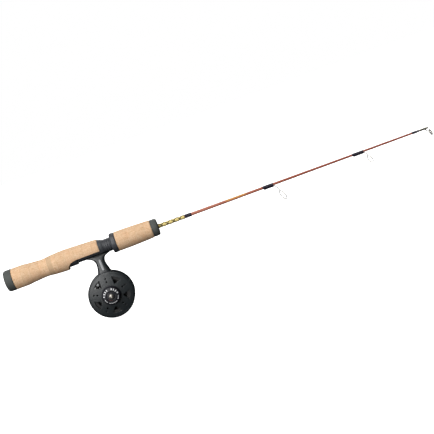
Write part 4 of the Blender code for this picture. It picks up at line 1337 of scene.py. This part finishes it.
CAMERA_DISTANCE = 1.491
CAMERA_ELEVATION = 7.5
CAMERA_ROLL = 20.12
CAMERA_PIXELS = 1100.0        # focal length in pixels of a 434-pixel picture
FRAME_PIXELS = 434.0
SENSOR = 36.0
AIM_ALONG = 299.1             # the point in the middle of the picture, along the rod and below it
AIM_BELOW = 15.6
FLOOR_DROP = 4.0
LIGHT_AIM = (0.2, 0.0, -0.03)
LIGHTS = (
    # name, place and size in metres, power
    ("key", (-0.45, -1.44, 0.33), 0.9, 17.0),
    ("top", (0.0, -0.9, 1.2), 0.8, 12.0),
    ("back", (0.4, 1.2, 0.7), 1.0, 9.0))
ROOM_BRIGHT_SIDE = (-0.45, -0.20, 0.87)
ROOM_DIM_AT = -0.2            # the room's light rises between these cosines from that side
ROOM_BRIGHT_AT = 0.9
WORLD_LOW = 0.03
WORLD_HIGH = 0.55


def make_camera():
    elevation = math.radians(CAMERA_ELEVATION)
    back = Vector((0.0, -math.cos(elevation), math.sin(elevation)))
    above = Vector((0.0, math.sin(elevation), math.cos(elevation)))
    aim = Vector((AIM_ALONG * MM, 0.0, 0.0)) - above * AIM_BELOW * MM
    roll = math.radians(CAMERA_ROLL)
    along = Vector((1.0, 0.0, 0.0))
    right = along * math.cos(roll) - above * math.sin(roll)
    up = along * math.sin(roll) + above * math.cos(roll)
    data = bpy.data.cameras.new("photo_camera")
    data.sensor_width = SENSOR
    data.lens = SENSOR * CAMERA_PIXELS / FRAME_PIXELS
    camera = link("photo_camera", data)
    turn = Matrix((right, up, back)).transposed().to_4x4()
    camera.matrix_world = Matrix.Translation(aim + back * CAMERA_DISTANCE) @ turn
    bpy.context.scene.camera = camera


def soft_light(name, place, size, power):
    data = bpy.data.lights.new(name, "AREA")
    data.shape = "SQUARE"
    data.size = size
    data.energy = power
    lamp = link(name, data)
    facing = (Vector(LIGHT_AIM) - Vector(place)).to_track_quat("-Z", "Y")
    lamp.matrix_world = Matrix.Translation(Vector(place)) @ facing.to_matrix().to_4x4()


def make_world():
    """White behind the object, and a dimmer room that is brighter above for the light it casts."""
    world = bpy.data.worlds.new("studio")
    world.use_nodes = True
    tree = world.node_tree
    tree.nodes.clear()
    where = node(tree, "TexCoord").outputs["Generated"]
    toward = node(tree, "VectorMath", {}, operation="DOT_PRODUCT")
    tree.links.new(where, toward.inputs[0])
    toward.inputs[1].default_value = ROOM_BRIGHT_SIDE
    glow = node(tree, "MapRange", {
        "Value": toward.outputs["Value"], "From Min": ROOM_DIM_AT, "From Max": ROOM_BRIGHT_AT,
        "To Min": WORLD_LOW, "To Max": WORLD_HIGH}).outputs["Result"]
    room = node(tree, "Background", {"Color": (1.0, 1.0, 1.0, 1.0), "Strength": glow})
    white = node(tree, "Background", {"Color": (1.0, 1.0, 1.0, 1.0), "Strength": 1.0})
    seen = node(tree, "LightPath").outputs["Is Camera Ray"]
    both = tree.nodes.new("ShaderNodeMixShader")
    tree.links.new(seen, both.inputs[0])
    tree.links.new(room.outputs[0], both.inputs[1])
    tree.links.new(white.outputs[0], both.inputs[2])
    out = tree.nodes.new("ShaderNodeOutputWorld")
    tree.links.new(both.outputs[0], out.inputs["Surface"])
    bpy.context.scene.world = world


def make_floor():
    """A plain pale floor just below the object; it glows a little, so that its shadow stays faint."""
    shape = bmesh.new()
    bmesh.ops.create_grid(shape, x_segments=1, y_segments=1, size=6.0)
    mesh = bpy.data.meshes.new("floor")
    shape.to_mesh(mesh)
    shape.free()
    floor = link("floor", mesh)
    floor.location.z = CAD_BOX_LOW - FLOOR_DROP * MM
    material = bpy.data.materials.new("floor")
    material.use_nodes = True
    tree = material.node_tree
    shader = tree.nodes["Principled BSDF"]
    shader.inputs["Base Color"].default_value = (0.95, 0.95, 0.95, 1.0)
    shader.inputs["Roughness"].default_value = 0.9
    shader.inputs["Emission Color"].default_value = (1.0, 1.0, 1.0, 1.0)
    shader.inputs["Emission Strength"].default_value = 0.9
    mesh.materials.append(material)
    floor.visible_glossy = False
    floor.visible_diffuse = False


def make_studio():
    make_camera()
    make_world()
    make_floor()
    for light in LIGHTS:
        soft_light(*light)
    scene = bpy.context.scene
    scene.view_settings.view_transform = "Standard"
    scene.view_settings.look = "None"


def build():
    make_butt_cap()
    make_rear_grip()
    make_seat()
    make_hoods()
    make_fore_grip()
    make_blank()
    make_handle_wraps()
    for guide in GUIDES:
        make_guide(*guide)
    make_tip_top()
    make_side_plate()
    make_cage()
    make_stem()
    make_foot()
    make_hub()
    make_spool()
    make_drag_star()
    make_crank()
    finish_carried_over()
    make_studio()


build()
bpy.context.view_layer.update()
